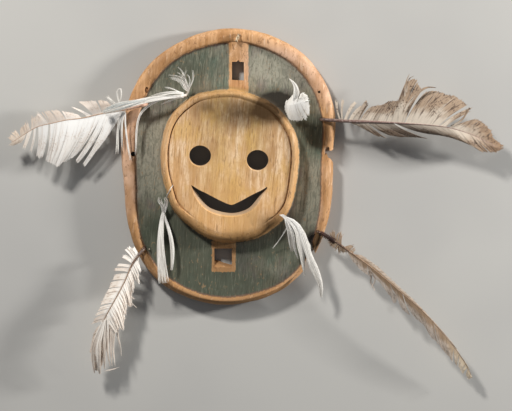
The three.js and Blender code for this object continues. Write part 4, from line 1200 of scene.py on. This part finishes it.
plume("small_feather_lower_right", [
    bundle([(280.5, 214, 25, 1), (281, 214.5, 31, 1), (285, 216, 32.6, 2), (287.5, 224, 31, 5.5),
            (290.2, 233, 29, 6.6), (291.6, 242, 27, 5.6), (292.6, 251, 25, 4)], 80, 8, 0.4),
    bundle([(285, 216, 32.6, 1), (289.5, 225, 32, 4), (293, 235, 30.5, 3.4), (294.2, 245, 29, 2),
            (296, 252, 27, 1.4), (298, 258.8, 25, 0.6)], 34, 9, 0.3),
    bundle([(285.5, 216.4, 32.6, 1), (292, 223, 32.4, 6), (298, 233, 31.4, 7.4), (300.4, 245, 30, 4.6),
            (302, 256, 28, 4), (303.4, 267, 26, 2.4), (304.8, 275.4, 24, 0.8)], 84, 10, 0.35),
    bundle([(286, 216.6, 32.6, 1), (294, 220.6, 32.8, 6), (300.2, 228, 32, 8), (303.4, 238, 31, 5.6),
            (307.4, 250, 29.6, 6.6), (310.8, 261, 28, 9), (314.8, 270, 26.4, 8), (318.4, 278.4, 24.6, 6),
            (321, 287.6, 22, 4), (321, 297.4, 19, 2)], 130, 13, 0.35, 0.55),
    bundle([(304, 232, 31, 2), (306.4, 240, 30, 2.4), (309.6, 245, 29, 2.4), (311, 249, 28, 1)], 16, 14,
            0.5),
    bundle([(287, 227, 29, 0.5), (283, 234, 25, 0.6), (279, 240, 20, 0.6), (272.6, 248.4, 15.5, 0.5)], 3,
            12, 0.2, 0.4)])
SHELL_SHAFT = [
    (54.8, 71.8, 5), (54.8, 71.8, 13), (55.2, 71.9, 27), (57.4, 72.4, 39), (62.5, 73.6, 45.5),
    (68.5, 75.8, 48.4), (74, 78, 49.6)]
shell_wisps, shell_webs = vane(SHELL_SHAFT, [
    (0.24, 0.6, [(285.4, 101.6), (288, 99.6), (290.6, 97)], 0.05, 1.2),
    (0.6, 0.86, [(291.4, 96), (293.6, 93), (295.6, 91), (297.6, 91.6), (298.8, 95)], 0.1, 1.2),
    (0.86, 0.995, [(299.8, 95.4), (300.6, 93), (303, 92), (305.4, 93), (307.2, 96), (308.2, 100)],
     0.3, 1.3),
    (0.24, 0.55, [(284.8, 106), (285.2, 110), (287.2, 114.6)], 0.05, 1.2),
    (0.55, 0.86, [(287.4, 115), (289.4, 118.8), (293, 120), (300, 120), (302.6, 117.8)], 0.35, 1.3),
    (0.86, 0.94, [(303, 117), (305.4, 120), (306.6, 115)], 0.35, 1.3),
    (0.94, 0.995, [(307.2, 114), (309, 113.8), (309.3, 109), (308.6, 101)], 0.25, 1.3)], 51, 0.12, 0.8)
plume("small_feather_upper_right", [
    shell_wisps,
    bundle([(285, 105, 6, 1.6), (285.3, 105, 14, 1.6), (286.5, 104.6, 30, 1.4), (291, 102.6, 42, 1),
            (296, 100.2, 47.5, 0.7), (300.5, 98, 49.6, 0.4)], 8, 52, 0.1),
    bundle([(287, 104, 33, 1), (290, 109, 36, 5), (292, 114, 36, 8), (293, 120, 35, 9)], 34, 53, 0.6),
    bundle([(293, 102.6, 44.6, 1), (297, 107, 45, 4), (299, 113, 44, 6), (300, 120.6, 42, 6)], 30, 54, 0.6),
    bundle([(299, 100, 48.6, 1), (303, 105, 48, 4), (306, 110, 46, 5), (307, 116, 44, 4)], 24, 55, 0.6),
    bundle([(293, 104, 43.6, 2), (295, 98, 46, 6.4), (296.2, 92, 47.4, 6), (295.4, 87, 47.6, 4.4),
            (293.2, 82.6, 47.4, 2.4), (288.8, 78.4, 46.6, 0.4)], 70, 56, 0.2, 0.6),
    bundle([(298, 100, 48.4, 1), (302.6, 97, 48.6, 5), (304.6, 93, 48, 7)], 22, 57, 0.5)], shell_webs)

# ---- Ties, lashing, peg and plug ----

def twisted(path, radius, turns, thick):
    """Two strands wound round each other along a path."""
    count = 60
    line = spline(path, count)
    radii = [thick * mix(0.8, 1, math.sin(math.pi * i / (count - 1))) for i in range(count)]
    pieces = []
    for start in (0, math.pi):
        wound = []
        for i, centre in enumerate(line):
            tangent = way_at(line, i)
            side = tangent.cross(Vector((0.1, 0.2, 1))).normalized()
            up = side.cross(tangent)
            angle = start + turns * math.tau * i / (count - 1)
            wound.append(centre + side * radius * math.cos(angle) + up * radius * math.sin(angle))
        pieces.append(tube(wound, radii, 8))
    return pieces


def joined(pieces):
    """One piece of several, moved to its place."""
    bpy.ops.object.select_all(action="DESELECT")
    for piece in pieces:
        piece.select_set(True)
    bpy.context.view_layer.objects.active = pieces[0]
    bpy.ops.object.join()
    whole = bpy.context.object
    to_place(whole)
    smooth(whole, 60)
    return whole


TIE = [(-3.8, 136.9, 18.8), (-3, 139.6, 20.2), (-2.2, 142.4, 20.2), (-1.4, 145.2, 18.8)]
tie = joined(twisted(TIE, 1, 1.1, 0.95))
finish_piece(tie, "top_tie_twist", LIGHT_CORD, "light_cord", "top_tie")

# The cord wound round the lower right quill: its turns, the winding's radius and the cord's own
TURNS, WINDING_RADIUS, CORD_RADIUS, WINDING_POINTS = 9, 2.35, 0.62, 160
lashed = spline(SHAFTS["feather_lower_right"], 200)[12:27]
coil = []
for i in range(WINDING_POINTS):
    share = i / (WINDING_POINTS - 1)
    f = share * (len(lashed) - 1.001)
    k = int(f)
    centre = lashed[k].lerp(lashed[k + 1], f - k)
    tangent = (lashed[k + 1] - lashed[k]).normalized()
    side = tangent.cross(Vector((0, 0, 1))).normalized()
    angle = share * math.tau * TURNS
    coil.append(centre + (side * math.cos(angle) + side.cross(tangent) * math.sin(angle)) * WINDING_RADIUS)
winding = joined([tube(coil, [CORD_RADIUS] * len(coil), 8)])
finish_piece(winding, "lashing_winding", DARK_CORD, "dark_cord", "lashing_lower_right")


def stub(name, node, outline, bottom, top, material, slot):
    """A small plug or peg with a rounded top."""
    middle = [sum(p[k] for p in outline) / len(outline) for k in (0, 1)]
    crown = [(mix(x, middle[0], 0.25), mix(y, middle[1], 0.25)) for x, y in outline]
    piece = cutter([(bottom, outline), (top - 0.5, outline), (top, crown)])
    to_place(piece)
    smooth(piece, 50)
    return finish_piece(piece, name, material, slot, node)


stub("peg_stub", "peg_lower_left", oval(*PEG, 1.7, 1.7, 20), 8, 17, PALE_PEG, "pale_wood")
stub("plug_stub", "plug_upper_left", oval(*PLUG, 3.2, 6.2, 28), 5, 16.4, BROWN_PLUG, "brown_wood")

# ---- Floor, light and camera ----

FLOOR_SIZE = 6
bpy.ops.object.select_all(action="DESELECT")
bpy.ops.mesh.primitive_plane_add(size=FLOOR_SIZE)
floor = bpy.context.object
floor.name = "floor"
pale = Recipe("pale_floor")
clouds = pale.ramp(pale.grain(3, detail=3), 0.35, 0.65)
pale.colour(pale.blend(clouds, tint(188, 187, 184), tint(196, 195, 191)))
pale.gloss(0.9)
floor.data.materials.append(pale.material)


def studio_light(name, compass, elevation, distance, size, power, colour):
    """A round lamp that faces the mask: degrees anticlockwise from the right and above the floor, metres
    off and across, and watts."""
    turn, rise = math.radians(compass), math.radians(elevation)
    flat = distance * math.cos(rise)
    place = MIDDLE + Vector((flat * math.cos(turn), flat * math.sin(turn), distance * math.sin(rise)))
    lamp = bpy.data.lights.new(name, "AREA")
    lamp.shape = "DISK"
    lamp.size = size
    lamp.energy = power
    lamp.color = colour
    holder = bpy.data.objects.new(name, lamp)
    bpy.context.collection.objects.link(holder)
    holder.location = place
    holder.rotation_euler = (MIDDLE - place).to_track_quat("-Z", "Y").to_euler()


studio_light("key_upper_left", 128, 36, 1.9, 0.26, 31, (1, 0.97, 0.93))
studio_light("side_right", 16, 15.5, 1.7, 0.2, 33, (1, 0.98, 0.95))
world = bpy.data.worlds.new("studio")
bpy.context.scene.world = world
world.use_nodes = True
world.node_tree.nodes["Background"].inputs["Color"].default_value = (0.9, 0.94, 1, 1)
world.node_tree.nodes["Background"].inputs["Strength"].default_value = 0.14

# The camera looks down from far off, leaning a little towards the mask's top
TILT = math.radians(2.5)
DISTANCE = 4.6534
FOCAL_LENGTH, SENSOR_WIDTH = 300, 36
aim = metres((31.6, -39.6, 15))
right = Vector((math.cos(TURN), math.sin(TURN), 0))
up = Vector((-math.sin(TURN), math.cos(TURN), 0))
back = (up * math.sin(TILT) + Vector((0, 0, 1)) * math.cos(TILT)).normalized()
lens = bpy.data.cameras.new("camera")
lens.lens = FOCAL_LENGTH
lens.sensor_width = SENSOR_WIDTH
camera = bpy.data.objects.new("camera", lens)
bpy.context.collection.objects.link(camera)
camera.rotation_euler = Matrix((right, back.cross(right).normalized(), back)).transposed().to_euler()
camera.location = aim + back * DISTANCE
bpy.context.scene.camera = camera
bpy.context.scene.view_settings.view_transform = "Standard"
